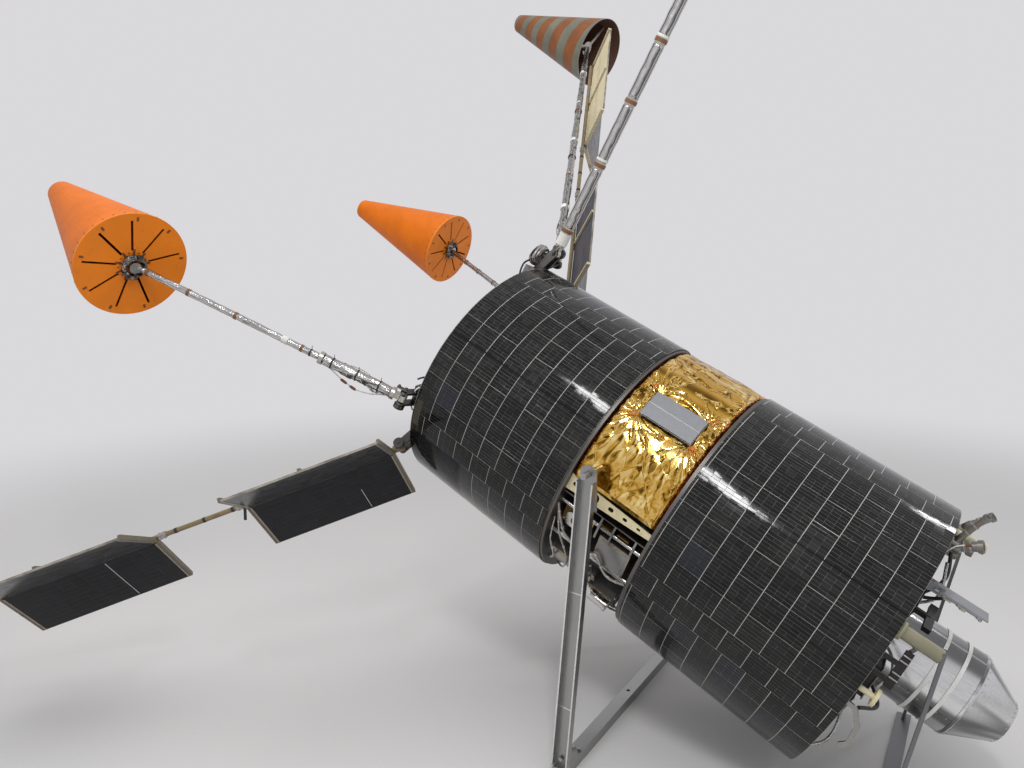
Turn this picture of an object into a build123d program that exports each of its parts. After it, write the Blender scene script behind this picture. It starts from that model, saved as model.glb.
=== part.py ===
"""Drum-shaped survey satellite on its display stand, in millimetres.

The row frame has its origin on the floor under the middle of the front floor beam.
X runs level towards the canister end, Y away from the side of the near leg, Z up.
The satellite is drawn in its own drum frame, with X along the drum axis towards the
canister, and is then set on its slope above the stand.
"""
from build123d import *
from math import cos, radians, sin, tan
import os

os.makedirs("parts", exist_ok=True)

# Placing of the drum axis above the stand
AXIS_SLOPE = 27.2
WAIST_X = 90.0
WAIST_Z = 736.0

# Drums
DRUM_R = 400.0
SKIN_T = 5.0
UPPER_TOP = -680.0
UPPER_FOOT = -144.0
LOWER_TOP = 144.0
LOWER_FOOT = 694.0
EDGE_BAND_W = 14.0
SEAM_W = 4.0
SEAM_DEPTH = 2.0
SEAM_COUNT = 4
UPPER_SEAM_TURN = 150.7
LOWER_SEAM_TURN = 145.0

# Decks that close the drums
DECK_T = 10.0
DECK_FIT = 0.3
DECK_RIB_W = 8.0
DECK_RIB_H = 14.0
DECK_RIB_COUNT = 8
RIB_SHORT = 4.0
HUB_R = 70.0
HUB_H = 26.0

# Waist between the drums
CORE_R = 250.0
CORE_WALL = 6.0
FRAME_RING_H = 10.0
FOIL_R = DRUM_R - 16.0
FOIL_T = 6.0
FOIL_FROM = 8.0
FOIL_TO = 171.0
LOUVRE_L = 158.0
LOUVRE_W = 88.0
LOUVRE_T = 8.0
LOUVRE_TURN = 129.5
LOUVRE_U = 4.0
BRACKET_T = 4.0
BRACKET_R = FOIL_R - 12.0
BRACKET_TURN = 175.0
BRACKET_WIDE = 46.0
BRACKET_NARROW = 16.0
WEB_TURN = 181.0
WEB_T = 4.0
WEB_SHORT = 20.0
WEB_HOLE_R = 34.0
ROOT_BITE = 1.0

# Fittings on the bay's boxes and the bent line beside the valve
VALVE_R = 14.0
VALVE_L = 56.0
VALVE_RING = 3.0
VALVE_RING_W = 8.0
HOUSING_L = 58.0
HOUSING_W = 46.0
HOUSING_H = 22.0
HOUSING_HOLE_R = 12.0
LINE_R = 4.0
LINE_FIT = 0.3

# Booms, cones and their hinges
PIN_R = 5.0
PIN_FIT = 0.5
EYE_R = 13.0
EYE_W = 20.0
NECK_W = 17.0
POLE_FROM = 16.0
CHEEK_T = 7.0
CHEEK_GAP = 6.0
FOOT_R = DRUM_R - 46.0
FOOT_L = 62.0
FOOT_W = 64.0
FOOT_H = 40.0
MAST_FOOT_W = 116.0
MAST_FOOT_H = 72.0
POLE_R = 9.0
TOP_POLE_R = 11.0
SLEEVE_R = 15.0
SLEEVE_L = 250.0
CLAMP_R = 20.0
CLAMP_W = 12.0
SPRING_R = 17.0
SPRING_W = 15.0
SPRING_COILS = 3
LATCH_L = 34.0
LATCH_W = 11.0
LATCH_T = 5.0
LATCH_GAP = 2.0
LATCH_STUD_R = 4.0
CABLE_R = 2.0
CABLE_FIT = 0.3
HUB_BOSS_R = 17.0
HUB_BOSS_L = 22.0
BEYOND = 100.0
CONE_R = 162.0
CONE_TIP_R = 44.0
CONE_L = 568.0
CONE_WALL = 3.0
FACE_T = 4.0
SLOT_COUNT = 9
SLOT_W = 7.0
SLOT_IN = 46.0
SLOT_OUT = CONE_R - 22.0
SPIDER_IN = 83.0
SPIDER_T = 6.0
SPIDER_ARM_W = 16.0
MAST_R = 17.0
MAST_BAND_R = 19.0
MAST_BAND_W = 16.0
MAST_L = 1200.0

# Wings: two panels in a shallow V on one spine
WING_W = 206.0
WING_T = 7.0
WING_HALF_V = 74.0
INNER_FROM = 26.0
INNER_TO = 526.0
OUTER_FROM = 822.0
OUTER_TO = 1348.0
SPINE_R = 8.0
RIB_T = 9.0
RIB_H = 14.0
PANEL_JOINT = 1.5

# Canister and the gear of the lower deck
CAN_R = 118.0
CAN_SHOULDER = 937.0
CAN_END = 1040.0
CAN_END_R = 56.0
STRAP_W = 9.0
STRAP_T = 2.0
STANDOFF_R = 16.5
STANDOFF_AT = DRUM_R + 2.0
STANDOFF_TURN = 150.0
STANDOFF_TIP = 785.0
STANDOFF_FLANGE = 6.0

# Gear that stands on the lower deck
DUCT_R = DRUM_R - 24.0
DUCT_T = 12.0
DUCT_W = 18.0
DUCT_U = 728.0
DUCT_POST = 12.0
DUCT_FROM = 154.0
DUCT_TO = 168.0
DUCT_POSTS = (159.5, 166.0)
ARM_SECTION = 12.0
HOOK_R = DRUM_R - 22.0
HOOK_T = 5.0
HOOK_W = 12.0
HOOK_TURN = 181.0
DISC_TURN = 173.5
DISC_R = 22.0
DISC_T = 8.0
DISC_HOLE_R = 3.0
DISC_HOLE_AT = 13.0
DISC_HOLE_COUNT = 5
DISC_STUB_R = 7.0
HORN_X = 22.0
HORN_R = 11.0
HORN_L = 76.0
HORN_LIP_R = 14.0
HORN_LIP_L = 12.0
HORN_BORE_R = 8.0
HORN_BORE_L = 16.0
PROBE_L = 110.0
PROBE_W = 50.0
PROBE_T = 4.0
PROBE_POST = 22.0
PROBE_POST_H = 62.0
PROBE_LAP = 10.0
PROBE_ROD_R = 4.0
PROBE_ROD_LAP = 20.0
SENSOR_R = DRUM_R - 45.0
SENSOR_TURN = 99.0
SENSOR_BASE_L = 50.0
SENSOR_BASE_W = 108.0
SENSOR_BASE_H = 14.0
SOCKET_WALL = 3.0
CAP_SHARE = 1.3

# Stand
TAB_U = -72.0
TAB_W = 116.0
LEG_Y = DRUM_R + 52.0
LEG_W = 48.0
LEG_D = 22.0
LEG_WALL = 4.0
TAB_HOLE_R = 9.0
BEAM_W = 40.0
BEAM_H = 30.0
BEAM_WALL = 4.0
TRUNNION_R = 9.0
TRUNNION_FIT = 1.0
TRUNNION_BITE = 0.1
BAR_W = 30.0
BAR_T = 8.0
REAR_X = 770.0
REAR_END = 10.0
FLOOR_HOLE_R = 6.0

# Largest arc at a tube's corner, as a share of its shorter run
ARC_SHARE = 0.45

ON_STAND = Location((WAIST_X, 0, WAIST_Z), (0, AXIS_SLOPE, 0))
LOW = (Align.CENTER, Align.CENTER, Align.MIN)
HIGH = (Align.CENTER, Align.CENTER, Align.MAX)


def save(shape, node):
    """Write one node."""
    export_step(shape, f"parts/{node}.step")


def rim(u, radius, turn):
    """Point in the drum frame at a turn counted from +Y towards +Z."""
    return Vector(u, radius * cos(radians(turn)), radius * sin(radians(turn)))


def row(point):
    """Row-frame place of a point of the drum frame."""
    return (ON_STAND * Location(tuple(point))).position


def rod(start, end, radius):
    """Round bar between two points."""
    start, end = Vector(*start), Vector(*end)
    return Plane(origin=start, z_dir=end - start) * Cylinder(radius, (end - start).length, align=LOW)


def drum_ring(u0, u1, outer, inner):
    """Ring about the drum axis between two stations."""
    section = Circle(outer) - Circle(inner)
    return extrude(Plane(origin=(u0, 0, 0), z_dir=(1, 0, 0)) * section, amount=u1 - u0)


def drum_disc(u0, u1, outer):
    """Disc about the drum axis between two stations."""
    return extrude(Plane(origin=(u0, 0, 0), z_dir=(1, 0, 0)) * Circle(outer), amount=u1 - u0)


def sector(u0, u1, outer, inner, turn0, turn1):
    """Part of a ring about the drum axis, from one turn to another."""
    middle = (turn0 + turn1) / 2
    outline = Wire([
        Edge.make_line(rim(u0, inner, turn0), rim(u0, outer, turn0)),
        Edge.make_three_point_arc(rim(u0, outer, turn0), rim(u0, outer, middle),
                                  rim(u0, outer, turn1)),
        Edge.make_line(rim(u0, outer, turn1), rim(u0, inner, turn1)),
        Edge.make_three_point_arc(rim(u0, inner, turn1), rim(u0, inner, middle),
                                  rim(u0, inner, turn0))])
    return extrude(Face(outline), amount=u1 - u0, dir=(1, 0, 0))


def tube(points, radius):
    """Round tube along straight runs joined by arcs as large as the runs allow."""
    points = [Vector(*point) for point in points]
    arcs = []
    for before, corner, after in zip(points, points[1:], points[2:]):
        shorter = min((corner - before).length, (after - corner).length)
        turn = (corner - before).get_angle(after - corner)
        arcs.append(ARC_SHARE * shorter / tan(radians(turn / 2)))
    path = FilletPolyline(*points, radius=arcs)
    return sweep(Plane(origin=points[0], z_dir=points[1] - points[0]) * Circle(radius), path=path)


def on_rim(u, radius, turn):
    """Plane at a place round the drum, X along the drum and Z outwards."""
    return Plane(origin=rim(u, radius, turn), x_dir=(1, 0, 0), z_dir=rim(0, 1, turn))


def drum(u0, u1, seam_turn):
    """Open cylinder skin with lengthwise seams between its curved cell panels."""
    shell = drum_ring(u0, u1, DRUM_R, DRUM_R - SKIN_T)
    seam = Box(u1 - u0 - 2 * EDGE_BAND_W, SEAM_W, 2 * SEAM_DEPTH)
    for index in range(SEAM_COUNT):
        turn = seam_turn + index * 360 / SEAM_COUNT
        shell -= on_rim((u0 + u1) / 2, DRUM_R, turn) * seam
    inner = DRUM_R - SKIN_T
    for station in (u0, u1 - EDGE_BAND_W):
        shell += drum_ring(station, station + EDGE_BAND_W, inner, inner - SKIN_T)
    return shell


save(ON_STAND * drum(UPPER_TOP, UPPER_FOOT, UPPER_SEAM_TURN), "upper_drum")
save(ON_STAND * drum(LOWER_TOP, LOWER_FOOT, LOWER_SEAM_TURN), "lower_drum")

# Decks, ribbed on the side that shows
DECK_R = DRUM_R - SKIN_T - DECK_FIT
UPPER_DECK = UPPER_TOP + EDGE_BAND_W
LOWER_DECK = LOWER_FOOT - EDGE_BAND_W


def deck(face, outward, rib_from):
    """Round deck with radial ribs standing on its outer face."""
    plate = drum_disc(min(face, face - outward * DECK_T), max(face, face - outward * DECK_T), DECK_R)
    reach = DRUM_R - 2 * SKIN_T - RIB_SHORT - rib_from
    for index in range(DECK_RIB_COUNT):
        turn = (index + 0.5) * 360 / DECK_RIB_COUNT
        place = Plane(origin=rim(face, rib_from + reach / 2, turn), x_dir=rim(0, 1, turn),
                      z_dir=(outward, 0, 0))
        plate += place * Box(reach, DECK_RIB_W, DECK_RIB_H, align=LOW)
    return plate


upper_deck = deck(UPPER_DECK, -1, HUB_R - RIB_SHORT) + drum_disc(UPPER_DECK - HUB_H, UPPER_DECK, HUB_R)
save(ON_STAND * upper_deck, "upper_deck")
lower_deck = deck(LOWER_DECK, 1, CAN_R + RIB_SHORT)
save(ON_STAND * lower_deck, "lower_deck")

# Waist frame: the inner tube and the two rings that the drums sit on
waist_frame = drum_ring(UPPER_FOOT, LOWER_TOP, CORE_R, CORE_R - CORE_WALL)
for station in (UPPER_FOOT, LOWER_TOP - FRAME_RING_H):
    waist_frame += drum_ring(station, station + FRAME_RING_H, DRUM_R - SKIN_T, CORE_R - CORE_WALL)
WAIST_FROM = UPPER_FOOT + FRAME_RING_H
WAIST_TO = LOWER_TOP - FRAME_RING_H
# Pierced webs at the bay's two edges: places of their holes as shares of the length
WEB_HOLES = (-0.32, 0.0, 0.32)
web_l, web_h = WAIST_TO - WAIST_FROM, FOIL_R - CORE_R - WEB_SHORT
for turn in (WEB_TURN, 180 - WEB_TURN):
    web = Rectangle(web_l, web_h)
    for share in WEB_HOLES:
        web -= Pos(share * web_l, 0) * Circle(WEB_HOLE_R)
    waist_frame += Plane(origin=rim((WAIST_FROM + WAIST_TO) / 2, CORE_R + web_h / 2 - ROOT_BITE,
                                    turn),
                         x_dir=(1, 0, 0), z_dir=rim(0, 1, turn + 90)) * extrude(
                             web, amount=WEB_T / 2, both=True)
save(ON_STAND * waist_frame, "waist_frame")

foil_wrap = sector(WAIST_FROM, WAIST_TO, FOIL_R, FOIL_R - FOIL_T, FOIL_FROM, FOIL_TO)
for turn, side in ((FOIL_FROM, 1), (FOIL_TO, -1)):
    foil_wrap += sector(WAIST_FROM, WAIST_TO, FOIL_R, CORE_R, turn, turn + side)
tab = row((TAB_U, 0, TAB_W))
bolts = []
foil_wrap = ON_STAND * foil_wrap
for side in (-1, 1):
    inner = Vector(tab.X, side * (CORE_R ** 2 - TAB_W ** 2) ** 0.5, tab.Z)
    outer = Vector(tab.X, side * (LEG_Y + LEG_D), tab.Z)
    bolts.append(rod(inner - (outer - inner) * TRUNNION_BITE, outer, TRUNNION_R)
                 - ON_STAND * drum_disc(WAIST_FROM, WAIST_TO, CORE_R))
    foil_wrap -= rod(inner, outer, TRUNNION_R + TRUNNION_FIT)
save(foil_wrap, "foil_wrap")
save(Compound(bolts), "trunnion_bolts")

louvre_seat = FOIL_R - LOUVRE_W * LOUVRE_W / (8 * FOIL_R) - FOIL_T / 2
louvre_plate = (on_rim(LOUVRE_U, louvre_seat, LOUVRE_TURN)
                * Box(LOUVRE_L, LOUVRE_W, FOIL_R + LOUVRE_T - louvre_seat, align=LOW)
                - drum_disc(WAIST_FROM, WAIST_TO, FOIL_R))
save(ON_STAND * louvre_plate, "louvre_plate")

# Holes of the tapered brackets: place along the web as a share of it, length, width
BRACKET_HOLES = ((-0.42, 16, 12), (-0.21, 44, 26), (0.02, 17, 12), (0.19, 14, 9), (0.35, 12, 7))


def bay_bracket(turn):
    """Tapered web with lightening holes of falling size, spanning from drum to drum."""
    length = WAIST_TO - WAIST_FROM
    web = make_face(Polyline(
        (-length / 2, -BRACKET_WIDE / 2), (length / 2, -BRACKET_NARROW / 2),
        (length / 2, BRACKET_NARROW / 2), (-length / 2, BRACKET_WIDE / 2), close=True))
    for share, hole_l, hole_w in BRACKET_HOLES:
        web -= Pos(share * length, 0) * SlotOverall(hole_l, hole_w)
    return on_rim((WAIST_FROM + WAIST_TO) / 2, BRACKET_R, turn) * extrude(web, amount=BRACKET_T)


save(ON_STAND * Compound([bay_bracket(BRACKET_TURN), bay_bracket(BRACKET_TURN + 180)]),
     "bay_brackets")

# Equipment on the waist tube's open side: station, turn, length, width, depth under the foil
BOXES = (
    (-74, 192, 92, 64, 44),
    (58, 196, 96, 84, 26),
    (-40, 220, 150, 74, 16),
    (66, 228, 84, 84, 10),
    (-58, 250, 100, 96, 50),
    (60, 262, 90, 110, 26),
    (-44, 290, 120, 110, 36),
    (62, 302, 84, 84, 30),
    (0, 330, 190, 84, 42),
)
boxes = []
for u, turn, length, width, depth in BOXES:
    seat = (CORE_R ** 2 - (width / 2) ** 2) ** 0.5
    block = on_rim(u, seat, turn) * Box(length, width, FOIL_R - depth - seat, align=LOW)
    boxes.append(block - drum_disc(WAIST_FROM, WAIST_TO, CORE_R))
save(ON_STAND * Compound(boxes), "bay_boxes")

# Pipes along the bay: turn, depth under the foil's radius, bar radius
PIPES = ((186, 28, 6), (206, 34, 8), (243, 32, 7), (276, 38, 9), (316, 34, 7))
pipes = [rod(rim(WAIST_FROM, FOIL_R - depth, turn), rim(WAIST_TO, FOIL_R - depth, turn), thick)
         for turn, depth, thick in PIPES]
save(ON_STAND * Compound(pipes), "bay_pipes")


# Valve, housing and bent line on top of the bay boxes
VALVE_BOX, HOUSING_BOX = BOXES[3], BOXES[0]
LINE_POINTS = ((-22, -34), (6, -36), (26, -28), (30, -6))


def on_box(box):
    """Plane on the outer face of a bay box, X along the drum."""
    u, turn, _, _, depth = box
    return on_rim(u, FOIL_R - depth, turn)


valve = Box(VALVE_L / 2, VALVE_R, VALVE_R, align=LOW)
valve += Pos(0, 0, VALVE_R + VALVE_RING) * Rot(0, 90, 0) * (
    Cylinder(VALVE_R, VALVE_L) + Pos(0, 0, VALVE_L / 2) * Cylinder(VALVE_R + VALVE_RING, VALVE_RING_W))
housing = Box(HOUSING_L, HOUSING_W, HOUSING_H, align=LOW)
housing = fillet(housing.edges().filter_by(Axis.Z), HOUSING_W / 3)
housing -= Cylinder(HOUSING_HOLE_R, 4 * HOUSING_H)
line = tube([(x, y, LINE_R + LINE_FIT) for x, y in LINE_POINTS], LINE_R)
save(ON_STAND * Compound([on_box(VALVE_BOX) * valve, on_box(VALVE_BOX) * line,
                          on_box(HOUSING_BOX) * housing]), "bay_fittings")


class Hinge:
    """Pin joint of a boom: its pivot, the boom's line and the pin's line, in the drum frame."""

    def __init__(self, pivot, along, pin):
        self.pivot = Vector(*pivot)
        self.along = Vector(*along).normalized()
        pin = Vector(*pin)
        self.pin = (pin - self.along * pin.dot(self.along)).normalized()
        self.plane = Plane(origin=self.pivot, x_dir=self.along, z_dir=self.pin)

    def point(self, distance):
        """Point on the boom's line."""
        return self.pivot + self.along * distance

    def eye(self, neck):
        """Round eye on the pin with a neck along the boom."""
        blank = Cylinder(EYE_R, EYE_W) + Pos(neck / 2, 0, 0) * Box(neck, NECK_W, EYE_W)
        return self.plane * (blank - Cylinder(PIN_R + PIN_FIT, EYE_W * 2))

    def spring(self, outer):
        """Coil spring that unfolds the hinge, wound on the pin outside one cheek."""
        pitch = SPRING_W / SPRING_COILS
        coils = Cylinder(PIN_R, SPRING_W, align=LOW)
        for index in range(SPRING_COILS):
            coils += Pos(0, 0, index * pitch) * Cylinder(SPRING_R, pitch / 2, align=LOW)
        return self.plane * Pos(0, 0, -outer) * Rot(180, 0, 0) * coils

    def latch(self, outer):
        """Lever on the other end of the pin, with the stud that locks the boom unfolded."""
        lever = Pos(LATCH_L / 2 - LATCH_W / 2, 0, 0) * Box(LATCH_L, LATCH_W, LATCH_T, align=LOW)
        lever += Pos(LATCH_L - LATCH_W, 0, 0) * Cylinder(LATCH_STUD_R, 2 * LATCH_T, align=LOW)
        pin_end = Cylinder(PIN_R, LATCH_GAP + 2 * LATCH_T, align=LOW)
        return self.plane * Pos(0, 0, outer) * (pin_end + Pos(0, 0, LATCH_GAP) * lever)

    def fork(self, foot_turn, foot_w, foot_h, latched):
        """Pin, spring and two cheeks on a foot that is bolted to the upper deck inside the rim."""
        side = EYE_W / 2 + CHEEK_GAP + CHEEK_T / 2
        outer = side + CHEEK_T / 2
        fork = self.plane * Cylinder(PIN_R, 2 * outer) + self.spring(outer)
        if latched:
            fork += self.latch(outer)
        foot = rim(UPPER_DECK - foot_h + EYE_R, FOOT_R, foot_turn)
        for offset in (-side, side):
            place = self.plane.offset(offset)
            inward = place.to_local_coords(foot)
            inward = Vector(inward.X, inward.Y, 0)
            arm = (Plane(origin=(0, 0, 0), x_dir=inward, z_dir=(0, 0, 1))
                   * Pos(inward.length / 2, 0, 0) * Box(inward.length, 2 * EYE_R, CHEEK_T))
            fork += place * (Cylinder(EYE_R, CHEEK_T) + arm)
        seat = Plane(origin=rim(UPPER_DECK, FOOT_R, foot_turn), x_dir=rim(0, 1, foot_turn),
                     z_dir=(-1, 0, 0))
        return fork + seat * Box(FOOT_L, foot_w, foot_h, align=LOW)


# Roots on the upper deck: pivot above the drum's top, pivot out from the skin, its turn, foot turn
ROOTS = {
    "boom_near": (25, 32.3, 185.97, 186),
    "boom_far": (25, 24.5, 15.02, 15),
    "boom_top": (20, 51.1, 73.25, 80),
    "mast": (-4, 60.5, 82.51, 80),
    "wing_near": (20, 23, 215, 221),
    "wing_far": (26, 27, 36, 40),
}
# Booms: length, line of the boom, line of its cone from base to tip
BOOMS = {
    "near": (892.6, (-787, -418, 52), (-0.992, 0.124, -0.022)),
    "far": (903.1, (-849, 306, -35), (-0.996, -0.038, -0.084)),
    "top": (1829.0, (-1025.7, 1341.4, 705.3), (-0.996, 0.089, -0.02)),
}
MAST_ALONG = (0.055, 0, 0.998)
CONE_SLOPE = (CONE_R - CONE_TIP_R) / CONE_L
# Wings: turn and spread of the spine, roll of its V
WINGS = {"near": (227.5, 59.2, 0.0), "far": (45.8, 56.2, 7.0)}


def pivot(root):
    """Pivot of a root, outboard of the upper drum's rim."""
    above, out, turn, _ = ROOTS[root]
    return rim(UPPER_TOP - above, DRUM_R + out, turn)


def root_fork(hinge, root, foot_w, foot_h):
    """Fork of a root on its own foot. Booms and the mast have a latch, wings don't."""
    return hinge.fork(ROOTS[root][3], foot_w, foot_h, not root.startswith("wing"))


near_hinge = Hinge(pivot("boom_near"), BOOMS["near"][1], (0, 0, 1))
far_hinge = Hinge(pivot("boom_far"), BOOMS["far"][1], (0, 0, 1))
top_line = Vector(*BOOMS["top"][1])
top_hinge = Hinge(pivot("boom_top"), top_line, top_line.cross(Vector(-1, 0, 0)))
mast_hinge = Hinge(pivot("mast"), MAST_ALONG, (0, -1, 0))
wing_hinges = {name: Hinge(pivot(f"wing_{name}"),
                           rim(-cos(radians(spread)), sin(radians(spread)), turn),
                           rim(0, 1, turn + 90))
               for name, (turn, spread, _) in WINGS.items()}

save(ON_STAND * Compound([root_fork(near_hinge, "boom_near", FOOT_W, FOOT_H),
                          root_fork(far_hinge, "boom_far", FOOT_W, FOOT_H)]), "boom_roots")
save(ON_STAND * (root_fork(top_hinge, "boom_top", FOOT_W, MAST_FOOT_H)
                 + root_fork(mast_hinge, "mast", MAST_FOOT_W, MAST_FOOT_H)), "mast_root")
save(ON_STAND * Compound([root_fork(wing_hinges["near"], "wing_near", FOOT_W, FOOT_H),
                          root_fork(wing_hinges["far"], "wing_far", FOOT_W, FOOT_H)]),
     "wing_roots")


def boom(hinge, length):
    """Boom with its hinge eye, its root sleeve with two clamps, and its pole."""
    pole = hinge.eye(2 * EYE_R) + rod(hinge.point(POLE_FROM), hinge.point(length), POLE_R)
    sleeve_end = 2 * EYE_R + SLEEVE_L
    pole += rod(hinge.point(2 * EYE_R), hinge.point(sleeve_end), SLEEVE_R)
    for distance in (2 * EYE_R, sleeve_end - CLAMP_W):
        pole += rod(hinge.point(distance), hinge.point(distance + CLAMP_W), CLAMP_R)
    return pole


def seated(shape, base, axis):
    """Trim a boom at a cone's face and add the boss that the face is screwed to."""
    seat = Vector(*base) - Vector(*axis).normalized() * FACE_T
    beyond = Plane(origin=seat, z_dir=axis) * Box(BEYOND, BEYOND, BEYOND, align=LOW)
    boss = Plane(origin=seat, z_dir=axis) * Cylinder(HUB_BOSS_R, HUB_BOSS_L, align=HIGH)
    return shape - beyond + boss


def cone_shell(base, axis):
    """Hollow cone, open at its base and closed at its tip."""
    inner = Cone(CONE_R - CONE_WALL, CONE_TIP_R - CONE_WALL * (1 - CONE_SLOPE),
                 CONE_L - CONE_WALL, align=LOW)
    return Plane(origin=base, z_dir=axis) * (Cone(CONE_R, CONE_TIP_R, CONE_L, align=LOW) - inner)


def cone_face(base, axis):
    """Slotted disc that closes a cone's base."""
    disc = Cylinder(CONE_R, FACE_T, align=HIGH)
    middle = (SLOT_IN + SLOT_OUT) / 2
    for index in range(SLOT_COUNT):
        disc -= Rot(0, 0, index * 360 / SLOT_COUNT) * Pos(middle, 0, 0) * Box(
            SLOT_OUT - SLOT_IN, SLOT_W, 4 * FACE_T)
    return Plane(origin=base, z_dir=axis) * disc


for name, hinge in (("near", near_hinge), ("far", far_hinge)):
    length, _, axis = BOOMS[name]
    base = hinge.point(length)
    save(ON_STAND * seated(boom(hinge, length), base, axis), f"boom_{name}")
    save(ON_STAND * cone_face(base, axis), f"cone_{name}_face")
    save(ON_STAND * cone_shell(base, axis), f"cone_{name}_shell")

# Cable clipped between the near boom's two clamps: place along the boom, depth under its line
CABLE_DEPTH = SLEEVE_R + CABLE_FIT + CABLE_R
CABLE_FROM = 2 * EYE_R + CLAMP_W
CABLE_TO = 2 * EYE_R + SLEEVE_L - CLAMP_W
CABLE_POINTS = ((CABLE_TO, 0), (CABLE_TO - 26, 0), (CABLE_TO - 78, 20), (CABLE_TO - 130, 30),
                (CABLE_TO - 178, 17), (CABLE_FROM + 20, 0), (CABLE_FROM, 0))
boom_cable = tube([near_hinge.point(along) - near_hinge.pin * (CABLE_DEPTH + depth)
                   for along, depth in CABLE_POINTS], CABLE_R)
save(ON_STAND * boom_cable, "boom_cable")

top_length, _, top_axis = BOOMS["top"]
top_end = top_hinge.point(top_length)
top_base = top_end - Vector(*top_axis).normalized() * SPIDER_IN
spider_r = CONE_R - CONE_WALL - SPIDER_IN * CONE_SLOPE
spider = Cylinder(2 * HUB_BOSS_R, SPIDER_T, align=LOW)
for index in range(3):
    spider += Rot(0, 0, index * 120) * Pos(spider_r / 2, 0, 0) * Box(
        spider_r, SPIDER_ARM_W, SPIDER_T, align=LOW)
spider &= Cone(spider_r, spider_r - SPIDER_T * CONE_SLOPE, SPIDER_T, align=LOW)
top_boom = top_hinge.eye(2 * EYE_R)
top_boom += rod(top_hinge.point(POLE_FROM), top_end, TOP_POLE_R)
top_boom += Plane(origin=top_end, z_dir=top_axis) * spider
save(ON_STAND * top_boom, "boom_top")
save(ON_STAND * cone_shell(top_base, top_axis), "cone_top_shell")

mast = mast_hinge.eye(2 * EYE_R) + rod(mast_hinge.point(2 * EYE_R), mast_hinge.point(MAST_L), MAST_R)
MAST_BAND_SHARES = (0.063, 0.253, 0.424, 0.578, 0.742, 0.908)
for share in MAST_BAND_SHARES:
    distance = share * MAST_L
    mast += rod(mast_hinge.point(distance), mast_hinge.point(distance + MAST_BAND_W), MAST_BAND_R)
save(ON_STAND * mast, "mast")

# Wings: spine and ribs in one node, the two pairs of panels in two more
PANELS = (("inner", INNER_FROM, INNER_TO), ("outer", OUTER_FROM, OUTER_TO))


def across(hinge, distance):
    """Plane across a wing's spine, with X in the middle of its V."""
    return Plane(origin=hinge.point(distance), x_dir=hinge.plane.y_dir * -1, z_dir=hinge.along)


V_FRONT = (SPINE_R + WING_T) / sin(radians(WING_HALF_V))


def wing_strip(hinge, roll, side, front, back, start, end):
    """Flat bar on one side of a wing's V, between two depths behind its cells."""
    lean = Pos(V_FRONT, 0) * Rot(0, 0, side * WING_HALF_V)
    middle = Pos(PANEL_JOINT + WING_W / 2, side * (front + back) / 2)
    section = Rot(0, 0, roll) * lean * middle * Rectangle(WING_W, back - front)
    return extrude(across(hinge, start) * section, amount=end - start)


def wing_spine(hinge, roll):
    """Spine with its hinge eye, the ribs that cap the panels' ends and one behind each middle."""
    spine = hinge.eye(2 * EYE_R) + rod(hinge.point(POLE_FROM), hinge.point(OUTER_TO), SPINE_R)
    for _, start, end in PANELS:
        middle = (start + end - RIB_T) / 2
        for side in (-1, 1):
            spine += wing_strip(hinge, roll, side, 0, RIB_H, start, start + RIB_T)
            spine += wing_strip(hinge, roll, side, WING_T, RIB_H, middle, middle + RIB_T)
            spine += wing_strip(hinge, roll, side, 0, RIB_H, end - RIB_T, end)
    return spine


for name, (_, _, roll) in WINGS.items():
    hinge = wing_hinges[name]
    save(ON_STAND * wing_spine(hinge, roll), f"wing_{name}_spine")
    for part_name, start, end in PANELS:
        pair = [wing_strip(hinge, roll, side, 0, WING_T, start + RIB_T, end - RIB_T)
                for side in (-1, 1)]
        save(ON_STAND * Compound(pair), f"wing_{name}_{part_name}")

# Canister on the lower deck, closed all round
can_outline = Polyline((LOWER_DECK, 0), (LOWER_DECK, CAN_R), (CAN_SHOULDER, CAN_R),
                       (CAN_END, CAN_END_R), (CAN_END, 0), close=True)
canister = revolve(Plane.XY * make_face(can_outline), axis=Axis.X)
save(ON_STAND * canister, "canister")
STRAP_STATIONS = (830, 882)
straps = [drum_ring(station, station + STRAP_W, CAN_R + STRAP_T, CAN_R)
          for station in STRAP_STATIONS]
save(ON_STAND * Compound(straps), "canister_straps")

# Stand-offs on the lower rim, used by the rear bars of the stand
standoffs = []
for turn in (STANDOFF_TURN, 180 - STANDOFF_TURN):
    foot = rim(LOWER_FOOT, STANDOFF_AT, turn)
    standoffs.append(rod(foot, rim(STANDOFF_TIP, STANDOFF_AT, turn), STANDOFF_R)
                     + rod(foot, rim(LOWER_FOOT + STANDOFF_FLANGE, STANDOFF_AT, turn),
                           STANDOFF_R + STANDOFF_FLANGE))
save(ON_STAND * Compound(standoffs), "standoffs")


def on_deck(radius, turn):
    """Plane on the lower deck's outer face, X away from the axis and Z out of the deck."""
    return Plane(origin=rim(LOWER_DECK, radius, turn), x_dir=rim(0, 1, turn), z_dir=(1, 0, 0))


# Curved duct on two posts and a short straight arm beside it
duct = sector(DUCT_U, DUCT_U + DUCT_W, DUCT_R + DUCT_T, DUCT_R, DUCT_FROM, DUCT_TO)
post = Box(DUCT_POST, DUCT_POST, DUCT_U - LOWER_DECK + DUCT_W / 2, align=LOW)
for turn in DUCT_POSTS:
    duct += on_deck(DUCT_R + DUCT_T / 2, turn) * post
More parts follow.
